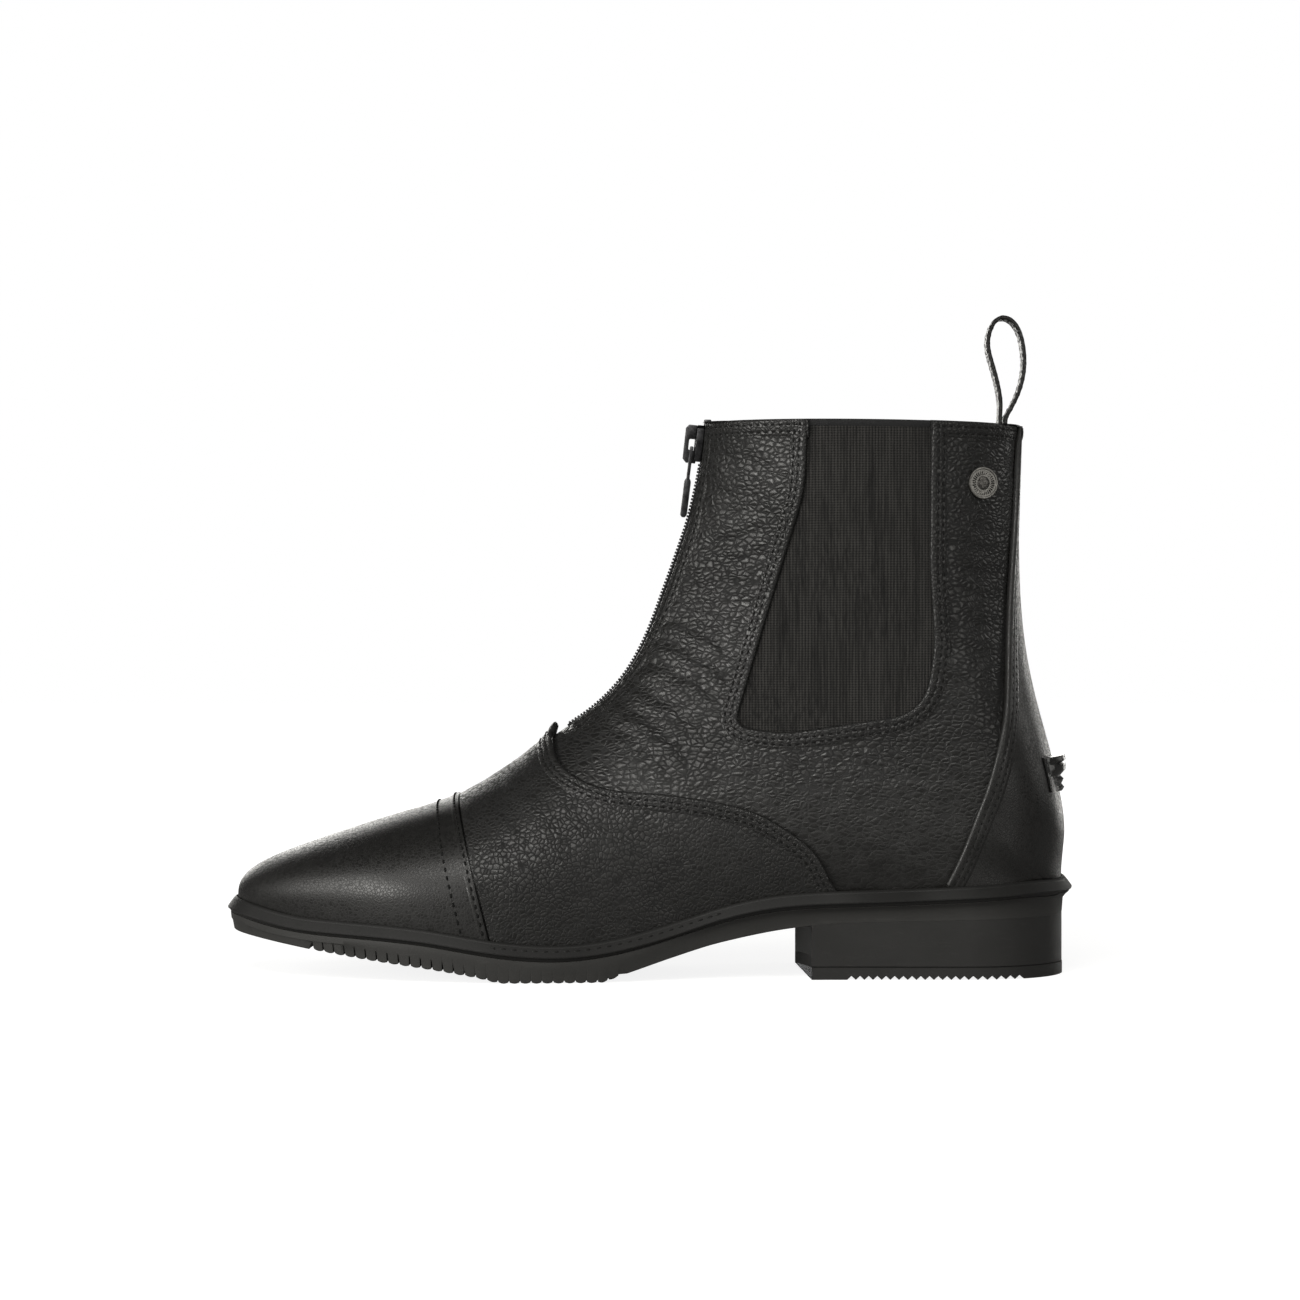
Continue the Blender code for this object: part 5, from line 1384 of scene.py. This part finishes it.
def build_heel_block(rubber):
    stations = fine_heel_stations(40)
    low = TOP_PIECE_THICKNESS + 0.02
    levels = []
    for level in HEEL_LEVELS:
        plan, _ = heel_outline(HEEL_REACH - level.inset, stations)
        z = low + level.rise + (underside(plan[:, 0]) - low) * level.share
        levels.append(np.column_stack([plan, z]))
    points, faces = tube(np.stack(levels))
    add_piece("heel_block_rubber", points, faces, rubber, ["heel_block"])


def build_heel_top_piece(rubber):
    """The wearing layer, with notches that run right across it."""
    stations = fine_heel_stations(4 * HEEL_TEETH + 1)
    plan, edge_count = heel_outline(HEEL_REACH + 0.15, stations)
    along = stations - NOTCH_FRONT_X
    span = NOTCH_BACK_X - NOTCH_FRONT_X
    phase = np.mod(along * HEEL_TEETH, span) / span
    notch = np.where((along >= 0.0) & (along <= span), NOTCH_DEPTH * (1.0 - np.abs(2.0 * phase - 1.0)), 0.0)
    height = np.zeros(len(plan))
    height[:edge_count] = np.concatenate([notch, notch[-2::-1]])
    trim, _ = heel_outline(HEEL_REACH - 0.2, stations)
    trim[edge_count:] = plan[edge_count:]
    levels = [
        np.column_stack([plan, height]),
        np.column_stack([plan, np.full(len(plan), TOP_PIECE_THICKNESS - 0.25)]),
        np.column_stack([trim, np.full(len(plan), TOP_PIECE_THICKNESS)]),
    ]
    points, faces = tube(np.stack(levels))
    faces.remove(tuple(range(len(plan))))
    last = edge_count - 1
    back = len(stations) - 1
    faces.extend((i, i + 1, last - i - 1, last - i) for i in range(back - 1))
    faces.append((back - 1, back, back + 1))
    faces.append((last, *range(edge_count, len(plan)), 0))
    add_piece("heel_top_rubber", points, faces, rubber, ["heel_top_piece"])


def build_insole(footbed):
    points, normals = outline_loop(spaced_stations(81))
    reach = -WALL - INSOLE_CLEAR
    loops = [
        loop_3d(points, normals, reach, base_z),
        loop_3d(points, normals, reach, lambda x: base_z(x) + INSOLE_THICKNESS - 0.5),
        loop_3d(points, normals, reach - 0.5, lambda x: base_z(x) + INSOLE_THICKNESS),
    ]
    count = len(points)
    faces = ring_faces(3, count, False) + bridge_across(0, count) + bridge_across(2 * count, count)
    add_piece("insole_footbed", np.concatenate(loops), faces, footbed, ["insole"])


def swept_strip(rows, section):
    """A strip along the zip; its section gives places beside the middle line and over the leather."""
    loops = [on_upper(rows, t_at_width(rows, beside), stand) for beside, stand in section]
    return tube(np.stack(loops, axis=1))


def bevelled(work, bevel):
    """Points and faces of a bmesh with its edges rounded; the bmesh is freed."""
    if bevel:
        bmesh.ops.bevel(work, geom=work.edges[:], offset=bevel, segments=2, profile=0.6, affect="EDGES")
    work.verts.index_update()
    points = np.array([v.co[:] for v in work.verts])
    faces = [tuple(v.index for v in face.verts) for face in work.faces]
    work.free()
    return points, faces


def rounded_box(size, bevel):
    """Points and faces of a box with its edges rounded, about its own middle."""
    work = bmesh.new()
    bmesh.ops.create_cube(work, size=1.0)
    bmesh.ops.scale(work, vec=size, verts=work.verts)
    return bevelled(work, bevel)


def joined(parts):
    points = []
    faces = []
    first = 0
    for part_points, part_faces in parts:
        points.append(part_points)
        faces += [tuple(first + v for v in face) for face in part_faces]
        first += len(part_points)
    return np.concatenate(points), faces


def build_zip(tape, metal):
    rows = np.linspace(ZIP_SLIT_START + 0.06, COLLAR, 160)
    half = ZIP_SLIT_HALF - GAP
    high = -TAPE_RECESS
    low = high - TAPE_THICKNESS
    core = [(CORE_HALF, high), (CORE_HALF - 0.2, high + 0.6), (CORE_HALF - 0.9, CORE_STAND)]
    core += [(-beside, stand) for beside, stand in core[::-1]]
    section = [(-half, low), (half, low), (half, high), *core, (-half, high)]
    points, faces = swept_strip(rows, section)
    add_piece("zip_tape_woven", points, faces, tape, ["zip_tape"])

    last = ridge_s(SLIDER_HEIGHT - SLIDER_HALF_LENGTH - 0.6)
    s = np.linspace(ZIP_SLIT_START + 0.1, last, 600)
    run = run_of(upper_point(s, 0.0))
    tooth_points, tooth_faces = rounded_box((TOOTH_LENGTH, TOOTH_REACH, TOOTH_HEIGHT), 0.22)
    teeth = []
    count = int(run[-1] / TOOTH_PITCH)
    across = np.array([0.0, 1.0, 0.0])
    for k in range(2 * count):
        side = -1.0 if k % 2 else 1.0
        place = np.interp((k + 0.5) * run[-1] / (2 * count), run, s)
        out = unit(upper_normal(place, 0.0) * (1.0, 0.0, 1.0))
        local = tooth_points + np.array([0.0, side * TOOTH_ASIDE, TOOTH_STAND])
        turn = np.stack([np.cross(across, out), across, out])
        teeth.append((upper_point(place, 0.0) + local @ turn, tooth_faces))
    points, faces = joined(teeth)
    add_piece("zip_teeth", points, faces, metal, ["zip_chain"])

    stop_points, stop_faces = rounded_box(STOP_SIZE, 0.4)
    top = upper_point(COLLAR - 0.05, 0.0)
    places = [top + np.array([0.6, side * STOP_ASIDE, 0.5]) for side in (-1.0, 1.0)]
    points, faces = joined([(place + stop_points, stop_faces) for place in places])
    add_piece("zip_top_stops", points, faces, metal)


def slider_frame():
    """Matrix with x along the zip, y across it and z standing off the leather."""
    s = ridge_s(SLIDER_HEIGHT)
    out = Vector(upper_normal(s, 0.0))
    out.y = 0.0
    out.normalize()
    across = Vector((0.0, 1.0, 0.0))
    matrix = Matrix((across.cross(out), across, out)).transposed().to_4x4()
    matrix.translation = Vector(upper_point(s, 0.0))
    return matrix


def plate(outline, low, high, bevel=0.0):
    """A flat outline of (a, b) points drawn out from low to high along y, its edges rounded."""
    work = bmesh.new()
    near = [work.verts.new((a, low, b)) for a, b in outline]
    far = [work.verts.new((a, high, b)) for a, b in outline]
    work.faces.new(near)
    work.faces.new(far[::-1])
    count = len(outline)
    for i in range(count):
        work.faces.new((near[i], far[i], far[(i + 1) % count], near[(i + 1) % count]))
    bmesh.ops.recalc_face_normals(work, faces=work.faces)
    return bevelled(work, bevel)


def placed(points, matrix):
    turn = np.array(matrix)
    return np.asarray(points) @ turn[:3, :3].T + turn[:3, 3]


def build_slider(metal):
    """Body, bridge and the plate that the bridge stands on; a window in the bridge holds the pull tab."""
    end = SLIDER_HALF_LENGTH
    wide = SLIDER_HALF_WIDTH
    half_body = [(-end, wide * 0.62), (end * 0.1, wide), (end * 0.8, wide), (end, wide * 0.6)]
    body = [(-end, -wide * 0.62)] + half_body + [(a, -b) for a, b in half_body[:0:-1]]
    body_points, body_faces = plate(body, SLIDER_BACK, SLIDER_FRONT, 0.35)
    low = SLIDER_FRONT - 0.6
    bridge = [
        (-end - 0.8, low),
        (-end - 0.8, 5.6),
        (-end + 0.6, BRIDGE_FRONT),
        (end - 1.4, BRIDGE_FRONT),
        (end - 0.1, 5.8),
        (end - 0.1, low),
        (BRIDGE_WINDOW_TOP, low),
        (BRIDGE_WINDOW_TOP, BRIDGE_WINDOW_FRONT - 0.35),
        (BRIDGE_WINDOW_TOP - 0.3, BRIDGE_WINDOW_FRONT),
        (BRIDGE_WINDOW_FOOT + 0.3, BRIDGE_WINDOW_FRONT),
        (BRIDGE_WINDOW_FOOT, BRIDGE_WINDOW_FRONT - 0.35),
        (BRIDGE_WINDOW_FOOT, low),
    ]
    base = [(-end, low), (-end, BRIDGE_BASE), (end - 0.3, BRIDGE_BASE), (end - 0.3, low)]
    uprights = [plate(outline, -BRIDGE_HALF_WIDTH, BRIDGE_HALF_WIDTH, 0.25) for outline in (bridge, base)]
    points, faces = joined([(body_points[:, [0, 2, 1]], body_faces), *uprights])
    points = placed(points, slider_frame())
    add_piece("zip_slider_metal", points, faces, metal, ["zip_slider"])


def build_pull(metal):
    around = np.linspace(0.0, 2 * np.pi, 25)[:-1]
    ring = [(PULL_BAR_RADIUS * np.cos(a), PULL_BAR_RADIUS * np.sin(a)) for a in around]
    pin = plate(ring, -PULL_HALF_WIDTH + 0.2, PULL_HALF_WIDTH - 0.2)
    half = PULL_ARM_THICKNESS / 2
    end_half = PULL_END_THICKNESS / 2
    arm_end = -PULL_ARM_LENGTH
    tip = arm_end - PULL_END_LENGTH
    eye = BRIDGE_HALF_WIDTH + 0.45
    fork = -PULL_FORK_LENGTH
    arm = [(half, 0.55), (-half, 0.55), (-half, fork), (half, fork)]
    neck = [(half, fork + 1.0), (-half, fork + 1.0), (-half, arm_end - 0.4), (half, arm_end - 0.4)]
    grip = [
        (half, arm_end + 0.6),
        (-half, arm_end + 0.6),
        (-end_half, arm_end - 0.5),
        (-end_half, tip + 0.9),
        (-end_half + 0.7, tip),
        (end_half - 0.7, tip),
        (end_half, tip + 0.9),
        (end_half, arm_end - 0.5),
    ]
    solids = [
        plate(arm, -PULL_HALF_WIDTH, -eye, 0.3),
        plate(arm, eye, PULL_HALF_WIDTH, 0.3),
        plate(neck, -PULL_HALF_WIDTH, PULL_HALF_WIDTH, 0.3),
        plate(grip, -PULL_HALF_WIDTH, PULL_HALF_WIDTH, 0.4),
    ]
    lean = Matrix.Rotation(float(PULL_LEAN), 4, "Y")
    points, faces = joined([(placed(points, lean), faces) for points, faces in solids] + [pin])
    points = points + np.array([PULL_AXIS_X, 0.0, PULL_AXIS_Z])
    add_piece("zip_pull_metal", points, faces, metal, ["zip_pull_tab"], "zip_pull")


def build_pull_loop(leather, thread):
    steps = np.linspace(0.0, len(PULL_LOOP) - 1.0, 220)
    x, z = through(PULL_LOOP, steps)
    line = np.column_stack([x, np.zeros(len(steps)), z])
    along = unit(np.gradient(line, axis=0))
    out = np.cross(along, (0.0, 1.0, 0.0))
    half = LOOP_WIDTH / 2
    thick = LOOP_THICKNESS / 2
    near = [(inward - half, share) for inward, share in LOOP_EDGE] + [(0.0, 1.0)]
    face = near + [(-y, share) for y, share in near[-2::-1]]
    section = [(y, -share) for y, share in face] + face[::-1]
    rings = [line + out * (share * thick) + np.array([0.0, y, 0.0]) for y, share in section]
    points, faces = tube(np.stack(rings, axis=1))
    add_piece("pull_loop_leather", points, faces, leather, ["pull_loop"])

    shown = (steps > 2.0) & (steps < len(PULL_LOOP) - 2.5)
    run = np.cumsum(np.hypot(np.gradient(x), np.gradient(z)))
    at = np.arange(run[shown][0], run[shown][-1], STITCH_PITCH)
    middle, ahead, off = (at_run(at, run, values) for values in (line, along, out))
    rows = []
    for y in (LOOP_STITCH_INSET - half, half - LOOP_STITCH_INSET):
        for hand in (-1.0, 1.0):
            place = middle + off * (hand * (thick - LOOP_STITCH_SINK)) + np.array([0.0, y, 0.0])
            rows.append((place, ahead, hand * off))
    points, faces = threads(rows, STITCH_LENGTH, LOOP_THREAD_RADIUS)
    add_piece("pull_loop_stitches", points, faces, thread)


def build_button(rim_metal, face_metal):
    """A plain round cap: raised rim, fluted ring and a low dome."""
    s, t = locate(BUTTON_X, BUTTON_Z, -1)
    facing = Vector(upper_normal(s, t)) + Vector((0.0, -BUTTON_TILT, 0.0))
    turn = facing.to_track_quat("Z", "Y").to_matrix().to_4x4()
    turn.translation = Vector(upper_point(s, t))
    around = np.arange(BUTTON_FLUTES * 6) * 2 * np.pi / (BUTTON_FLUTES * 6)
    circle = np.column_stack([np.cos(around), np.sin(around)])
    for name, profile, metal, nodes in (
        ("button_rim", BUTTON_RIM, rim_metal, ["button"]),
        ("button_face", BUTTON_FACE, face_metal, []),
    ):
        rings = []
        for ring in profile:
            fluted = FLUTED_RING[0] < ring.share < FLUTED_RING[1]
            tall = ring.height + FLUTE_DEPTH * np.cos(around * BUTTON_FLUTES) * fluted
            rings.append(np.column_stack([BUTTON_RADIUS * ring.share * circle, tall]))
        points, faces = tube(np.stack(rings))
        add_piece(name, placed(points, turn), faces, metal, nodes)


def build_spur_rest(rubber):
    turn = np.linspace(-1.0, 1.0, 61)
    taper = 1.0 - smooth_step(0.45, 1.0, np.abs(turn))
    base_s = np.linspace(HEEL_CORNER, COLLAR, 300)
    heights = COLUMN["base_z"](base_s)
    low = OVERLAY_GAP + STRAP_THICKNESS + SPUR_REST_CLEAR
    sheets = {"inner": [], "outer": []}
    for rib in SPUR_REST:
        back = np.interp(rib.z, heights, COLUMN["base_x"](base_s)) - 0.02
        x = back - SPUR_REST_CURVE * (1.0 - np.cos(turn * SPUR_REST_SPREAD))
        s, t = locate(x, rib.z, side_of(turn))
        for sheet, extra in (("inner", 0.0), ("outer", np.maximum(rib.stand * taper, SPUR_REST_THINNEST))):
            points = on_upper(s, t, low + extra)
            points[np.abs(turn) < 1e-9, 1] = 0.0
            sheets[sheet].append(points)
    outer, inner = (np.concatenate(sheets[sheet]) for sheet in ("outer", "inner"))
    points, faces, _ = shell(outer, inner, grid_cells(len(SPUR_REST), len(turn)))
    add_piece("spur_rest_rubber", points, faces, rubber, ["spur_rest"])


def times(tree, first, second, third=None):
    """first times second, plus third where there is one."""
    made = tree.nodes.new("ShaderNodeMath")
    made.operation = "MULTIPLY" if third is None else "MULTIPLY_ADD"
    for index, value in enumerate((first, second, third)):
        if value is None:
            continue
        if isinstance(value, (int, float)):
            made.inputs[index].default_value = value
        else:
            tree.links.new(value, made.inputs[index])
    return made.outputs[0]


def set_inputs(made, values):
    for key, value in values.items():
        made.inputs[key].default_value = value


def fed_node(tree, kind, place, values=None):
    """A node of coordinates, with its inputs set by name."""
    made = tree.nodes.new("ShaderNode" + kind)
    set_inputs(made, values or {})
    tree.links.new(place, made.inputs["Vector"])
    return made


def spread(tree, value, low, high, to_low=0.0, to_high=1.0):
    """A value carried smoothly from one range to another."""
    made = tree.nodes.new("ShaderNodeMapRange")
    made.interpolation_type = "SMOOTHSTEP"
    tree.links.new(value, made.inputs["Value"])
    set_inputs(made, {"From Min": low, "From Max": high, "To Min": to_low, "To Max": to_high})
    return made.outputs["Result"]


def between(tree, share, dark, light):
    """A colour part of the way from dark to light."""
    made = tree.nodes.new("ShaderNodeMix")
    made.data_type = "RGBA"
    made.inputs[6].default_value = (*dark, 1.0)
    made.inputs[7].default_value = (*light, 1.0)
    tree.links.new(share, made.inputs[0])
    return made.outputs[2]


def start_material(name):
    """A new material with its node tree, its shader and the piece's own coordinates, in metres."""
    material = bpy.data.materials.new(name)
    material.use_nodes = True
    tree = material.node_tree
    place = tree.nodes.new("ShaderNodeTexCoord").outputs["Object"]
    return material, tree, tree.nodes["Principled BSDF"], place


def noise(tree, place, scale, detail=3.0, rough=0.5):
    made = fed_node(tree, "TexNoise", place, {"Scale": scale, "Detail": detail, "Roughness": rough})
    return made.outputs["Fac"]


def scaled(tree, place, scale):
    return fed_node(tree, "Mapping", place, {"Scale": scale}).outputs["Vector"]


def warped(tree, place, scale, amount):
    """Coordinates pushed about by a soft noise, so that cells and ribs aren't even."""
    made = fed_node(tree, "TexNoise", place, {"Scale": scale, "Detail": 2.0})
    push = tree.nodes.new("ShaderNodeVectorMath")
    push.operation = "MULTIPLY_ADD"
    tree.links.new(made.outputs["Color"], push.inputs[0])
    push.inputs[1].default_value = (amount, amount, amount)
    tree.links.new(place, push.inputs[2])
    return push.outputs["Vector"]


def edge_distance(tree, place, scale):
    """How far a place lies from the nearest border between two cells."""
    made = fed_node(tree, "TexVoronoi", place, {"Scale": scale})
    made.feature = "DISTANCE_TO_EDGE"
    return made.outputs["Distance"]


def cell_tone(tree, place, scale):
    """One chance value for each cell."""
    made = fed_node(tree, "TexVoronoi", place, {"Scale": scale})
    parts = tree.nodes.new("ShaderNodeSeparateColor")
    tree.links.new(made.outputs["Color"], parts.inputs["Color"])
    return parts.outputs["Red"]


def waves(tree, place, direction, pitch):
    """Even bands across one direction, with a pitch in millimetres."""
    made = fed_node(tree, "TexWave", place, {"Scale": 2 * np.pi / (20 * pitch * MM)})
    made.bands_direction = direction
    return made.outputs["Fac"]


def height_of(tree, place):
    return fed_node(tree, "SeparateXYZ", place).outputs["Z"]


def bump(tree, shader, height, strength, distance):
    made = tree.nodes.new("ShaderNodeBump")
    set_inputs(made, {"Strength": strength, "Distance": distance})
    tree.links.new(height, made.inputs["Height"])
    tree.links.new(made.outputs["Normal"], shader.inputs["Normal"])


def leather_material(name, rough, grain, stretch, depth, wrinkle, fade=VAMP_FADE, marked=1.0):
    """Pebbled leather: thin dull grooves, their colour darkened as painted shade, that fade out between two
    heights, with fine wrinkles over them.
    """
    material, tree, shader, place = start_material(name)
    laid = scaled(tree, warped(tree, place, 0.42 * grain, 0.9 / grain), stretch)
    apart = edge_distance(tree, laid, grain)
    broad = noise(tree, place, 42.0, 4.0, 0.6)
    shown = times(tree, broad, 0.9, 0.45)
    shown = times(tree, shown, spread(tree, height_of(tree, place), *fade, 0.3 * marked, marked))
    groove = times(tree, spread(tree, apart, 0.0, 0.2, 1.0, 0.0), shown)
    dome = times(tree, spread(tree, apart, 0.0, 0.5), shown)
    pebble = cell_tone(tree, laid, grain)
    pores = noise(tree, place, 5200.0, 2.0)
    folds = noise(tree, scaled(tree, place, (0.32, 0.6, 1.0)), 620.0, 3.0, 0.55)
    height = times(tree, groove, -0.35, times(tree, dome, 0.65))
    height = times(tree, folds, wrinkle, height)
    height = times(tree, pores, 0.05, height)
    # Base colour: a chance tone for each pebble, darkened towards the grooves as painted shade.
    tone = times(tree, pebble, 0.3, times(tree, groove, -1.2, 0.75))
    tree.links.new(between(tree, tone, GROOVE_SHADE, LEATHER_BLACK), shader.inputs["Base Color"])
    dull = times(tree, groove, 0.5, rough - 0.08)
    dull = times(tree, pebble, 0.08, dull)
    dull = times(tree, broad, 0.12, dull)
    tree.links.new(dull, shader.inputs["Roughness"])
    shader.inputs["Specular IOR Level"].default_value = 0.42
    bump(tree, shader, height, 1.0, depth)
    return material


def rubber_material(name, dark, light, rough):
    material, tree, shader, place = start_material(name)
    broad = noise(tree, place, 60.0, 4.0, 0.6)
    fine = noise(tree, place, 2600.0, 3.0)
    scuff = spread(tree, noise(tree, scaled(tree, place, (1.0, 1.0, 6.0)), 130.0, 5.0, 0.65), 0.56, 0.72)
    tone = times(tree, scuff, 0.30, times(tree, broad, 0.7))
    tree.links.new(between(tree, tone, dark, light), shader.inputs["Base Color"])
    tree.links.new(times(tree, broad, 0.16, rough - 0.08), shader.inputs["Roughness"])
    shader.inputs["Specular IOR Level"].default_value = 0.32
    bump(tree, shader, times(tree, scuff, 0.4, fine), 0.35, 0.00008)
    return material


def elastic_material(name):
    """Ribs that stand upright, crossed by a finer weave; the colour darkens where ribs and weave sink, as
    painted shade.
    """
    material, tree, shader, place = start_material(name)
    place = warped(tree, place, 700.0, 0.00022)
    rib = spread(tree, waves(tree, place, "X", RIB_PITCH), 0.2, 0.75)
    thread = spread(tree, waves(tree, place, "Z", WEAVE_PITCH), 0.15, 0.7)
    height = times(tree, thread, 0.45, times(tree, rib, 0.55))
    streak = noise(tree, scaled(tree, place, (1.0, 1.0, 0.05)), 1600.0, 1.0)
    band = noise(tree, scaled(tree, place, (1.0, 1.0, 0.03)), 330.0, 2.0)
    streaked = times(tree, band, 1.8, times(tree, streak, 2.0, -1.05))
    # Colour follows the weave's height times the streaks: painted shade in the hollows between ribs and
    # threads, with darker and lighter streaks.
    tone = times(tree, height, streaked)
    tree.links.new(between(tree, tone, ELASTIC_DARK, ELASTIC_LIGHT), shader.inputs["Base Color"])
    look = {"Roughness": 0.88, "Specular IOR Level": 0.2, "Sheen Weight": 0.12, "Sheen Roughness": 0.5}
    set_inputs(shader, look)
    bump(tree, shader, height, 0.7, 0.00022)
    return material


def woven_material(name, dark, light, pitch):
    material, tree, shader, place = start_material(name)
    apart = edge_distance(tree, scaled(tree, place, (1.0, 1.0, 2.0)), 1.0 / (pitch * MM))
    weave = spread(tree, apart, 0.0, 0.3)
    broad = noise(tree, place, 200.0)
    # Colour darkens towards the weave's cell borders, where the bump sinks: painted shade.
    tone = times(tree, broad, 0.5, times(tree, weave, 0.5))
    tree.links.new(between(tree, tone, dark, light), shader.inputs["Base Color"])
    set_inputs(shader, {"Roughness": 0.85, "Specular IOR Level": 0.25})
    bump(tree, shader, weave, 0.6, 0.00015)
    return material


def metal_material(name, dark, light, rough, wear, size=420.0):
    material, tree, shader, place = start_material(name)
    broad = noise(tree, place, size, 5.0, 0.65)
    fine = noise(tree, place, 3000.0, 3.0)
    mixed = times(tree, fine, 0.3, times(tree, broad, 0.7))
    tone = spread(tree, mixed, 0.5 - wear, 0.5 + wear)
    tree.links.new(between(tree, tone, dark, light), shader.inputs["Base Color"])
    tree.links.new(times(tree, broad, 0.25, rough - 0.1), shader.inputs["Roughness"])
    shader.inputs["Metallic"].default_value = 1.0
    bump(tree, shader, fine, 0.25, 0.00005)
    return material


def build_boot():
    quarter = leather_material(
        "quarter_leather", rough=0.33, grain=600.0, stretch=(0.62, 0.66, 1.06), depth=0.00020, wrinkle=0.50,
        fade=QUARTER_FADE,
    )
    vamp = leather_material(
        "vamp_leather", rough=0.35, grain=620.0, stretch=(0.95, 0.95, 1.0), depth=0.00012, wrinkle=0.10
    )
    smooth = leather_material(
        "smooth_leather", rough=0.33, grain=900.0, stretch=(0.9, 0.9, 1.0), depth=0.00005, wrinkle=0.1,
        marked=0.5,
    )
    edge = leather_material(
        "edge_leather", rough=0.34, grain=700.0, stretch=(0.9, 0.9, 1.0), depth=0.00014, wrinkle=0.3
    )
    footbed = leather_material(
        "footbed", rough=0.60, grain=900.0, stretch=(1.0, 1.0, 1.0), depth=0.0001, wrinkle=0.1
    )
    lining = woven_material("lining_cloth", (0.012, 0.0115, 0.011), (0.022, 0.021, 0.020), pitch=0.8)
    thread = woven_material("thread", (0.0016, 0.0016, 0.0015), (0.006, 0.0059, 0.0056), pitch=0.35)
    tape = woven_material("zip_tape", (0.008, 0.008, 0.0085), (0.020, 0.020, 0.0205), pitch=0.5)
    elastic = elastic_material("ribbed_elastic")
    rubber = rubber_material("sole_rubber", (0.020, 0.0197, 0.0188), (0.037, 0.0365, 0.0350), rough=0.54)
    heel = rubber_material("heel_rubber", (0.0105, 0.0103, 0.0099), (0.021, 0.0207, 0.0199), rough=0.56)
    welt = rubber_material("welt_rubber", (0.0048, 0.0047, 0.0045), (0.0125, 0.0123, 0.0117), rough=0.56)
    plastic = rubber_material("spur_rest_plastic", (0.012, 0.012, 0.0117), (0.022, 0.022, 0.0215), rough=0.26)
    nickel = metal_material("black_nickel", (0.02, 0.02, 0.021), (0.075, 0.075, 0.078), rough=0.34, wear=0.2)
    silver = metal_material("aged_silver", (0.06, 0.058, 0.054), (0.19, 0.185, 0.174), rough=0.32, wear=0.2)
    dark_silver = metal_material(
        "aged_silver_face", (0.010, 0.0096, 0.0088), (0.13, 0.125, 0.117), rough=0.38, wear=0.14, size=1500.0
    )
    build_upper(quarter, lining)
    build_gores(elastic)
    build_vamp(vamp)
    build_toe_cap(smooth)
    build_back_strap(smooth)
    build_edges_and_stitches(edge, smooth, thread)
    build_bindings(tape)
    build_welt(welt)
    build_welt_marks(welt)
    build_outsole(rubber)
    build_heel_block(heel)
    build_heel_top_piece(heel)
    build_insole(footbed)
    build_zip(tape, nickel)
    build_slider(nickel)
    build_pull(nickel)
    build_pull_loop(edge, thread)
    build_button(silver, dark_silver)
    build_spur_rest(plastic)


def add_light(light):
    """A soft box."""
    data = bpy.data.lights.new(light.name, "AREA")
    data.shape = "RECTANGLE"
    data.size, data.size_y = light.size
    data.energy = light.power
    data.color = LIGHT_COLOUR
    lamp = bpy.data.objects.new(light.name, data)
    lamp.location = light.place
    lamp.rotation_mode = "QUATERNION"
    lamp.rotation_quaternion = (Vector(light.aim) - Vector(light.place)).to_track_quat("-Z", "Y")
    bpy.context.scene.collection.objects.link(lamp)


def build_world():
    """A dim white room, seen as pure white."""
    world = bpy.data.worlds.new("studio")
    world.use_nodes = True
    tree = world.node_tree
    back = tree.nodes["Background"]
    back.inputs["Color"].default_value = (1.0, 1.0, 1.0, 1.0)
    back.inputs["Strength"].default_value = AMBIENT
    sight = tree.nodes.new("ShaderNodeBackground")
    sight.inputs["Color"].default_value = (1.0, 1.0, 1.0, 1.0)
    mixed = tree.nodes.new("ShaderNodeMixShader")
    tree.links.new(tree.nodes.new("ShaderNodeLightPath").outputs["Is Camera Ray"], mixed.inputs[0])
    tree.links.new(back.outputs[0], mixed.inputs[1])
    tree.links.new(sight.outputs[0], mixed.inputs[2])
    tree.links.new(mixed.outputs[0], tree.nodes["World Output"].inputs["Surface"])
    bpy.context.scene.world = world


def build_floor():
    """A pale floor that fades to the room's white away from the boot."""
    mesh = bpy.data.meshes.new("floor")
    corners = [(FLOOR_HALF * a, FLOOR_HALF * b, 0) for a, b in ((-1, -1), (1, -1), (1, 1), (-1, 1))]
    mesh.from_pydata(corners, [], [(0, 1, 2, 3)])
    floor = bpy.data.objects.new("floor", mesh)
    bpy.context.scene.collection.objects.link(floor)
    material, tree, shader, place = start_material("pale_floor")
    set_inputs(shader, {"Base Color": (*FLOOR_TONE, 1.0), "Emission Color": (1.0, 1.0, 1.0, 1.0)})
    set_inputs(shader, {"Roughness": 0.9, "Specular IOR Level": 0.0})
    seen = tree.nodes.new("ShaderNodeLightPath").outputs["Is Camera Ray"]
    away = tree.nodes.new("ShaderNodeVectorMath")
    away.operation = "LENGTH"
    tree.links.new(place, away.inputs[0])
    glow = spread(tree, away.outputs["Value"], FLOOR_NEAR, FLOOR_FAR, FLOOR_GLOW, 1.0)
    tree.links.new(times(tree, seen, glow), shader.inputs["Emission Strength"])
    mesh.materials.append(material)


def build_stage():
    scene = bpy.context.scene
    scene.view_settings.view_transform = "Standard"
    build_world()
    build_floor()
    for light in LIGHTS:
        add_light(light)
    lens = bpy.data.cameras.new("camera")
    lens.sensor_width = SENSOR_WIDTH
    lens.lens = SENSOR_WIDTH * CAMERA_DISTANCE / (PHOTO_WIDTH * PIXEL)
    lens.clip_end = 50.0
    camera = bpy.data.objects.new("camera", lens)
    camera.location = (0.0, -CAMERA_DISTANCE * MM, CAMERA_HEIGHT * MM)
    camera.rotation_euler = (np.pi / 2, 0.0, 0.0)
    scene.collection.objects.link(camera)
    scene.camera = camera


build_boot()
build_stage()
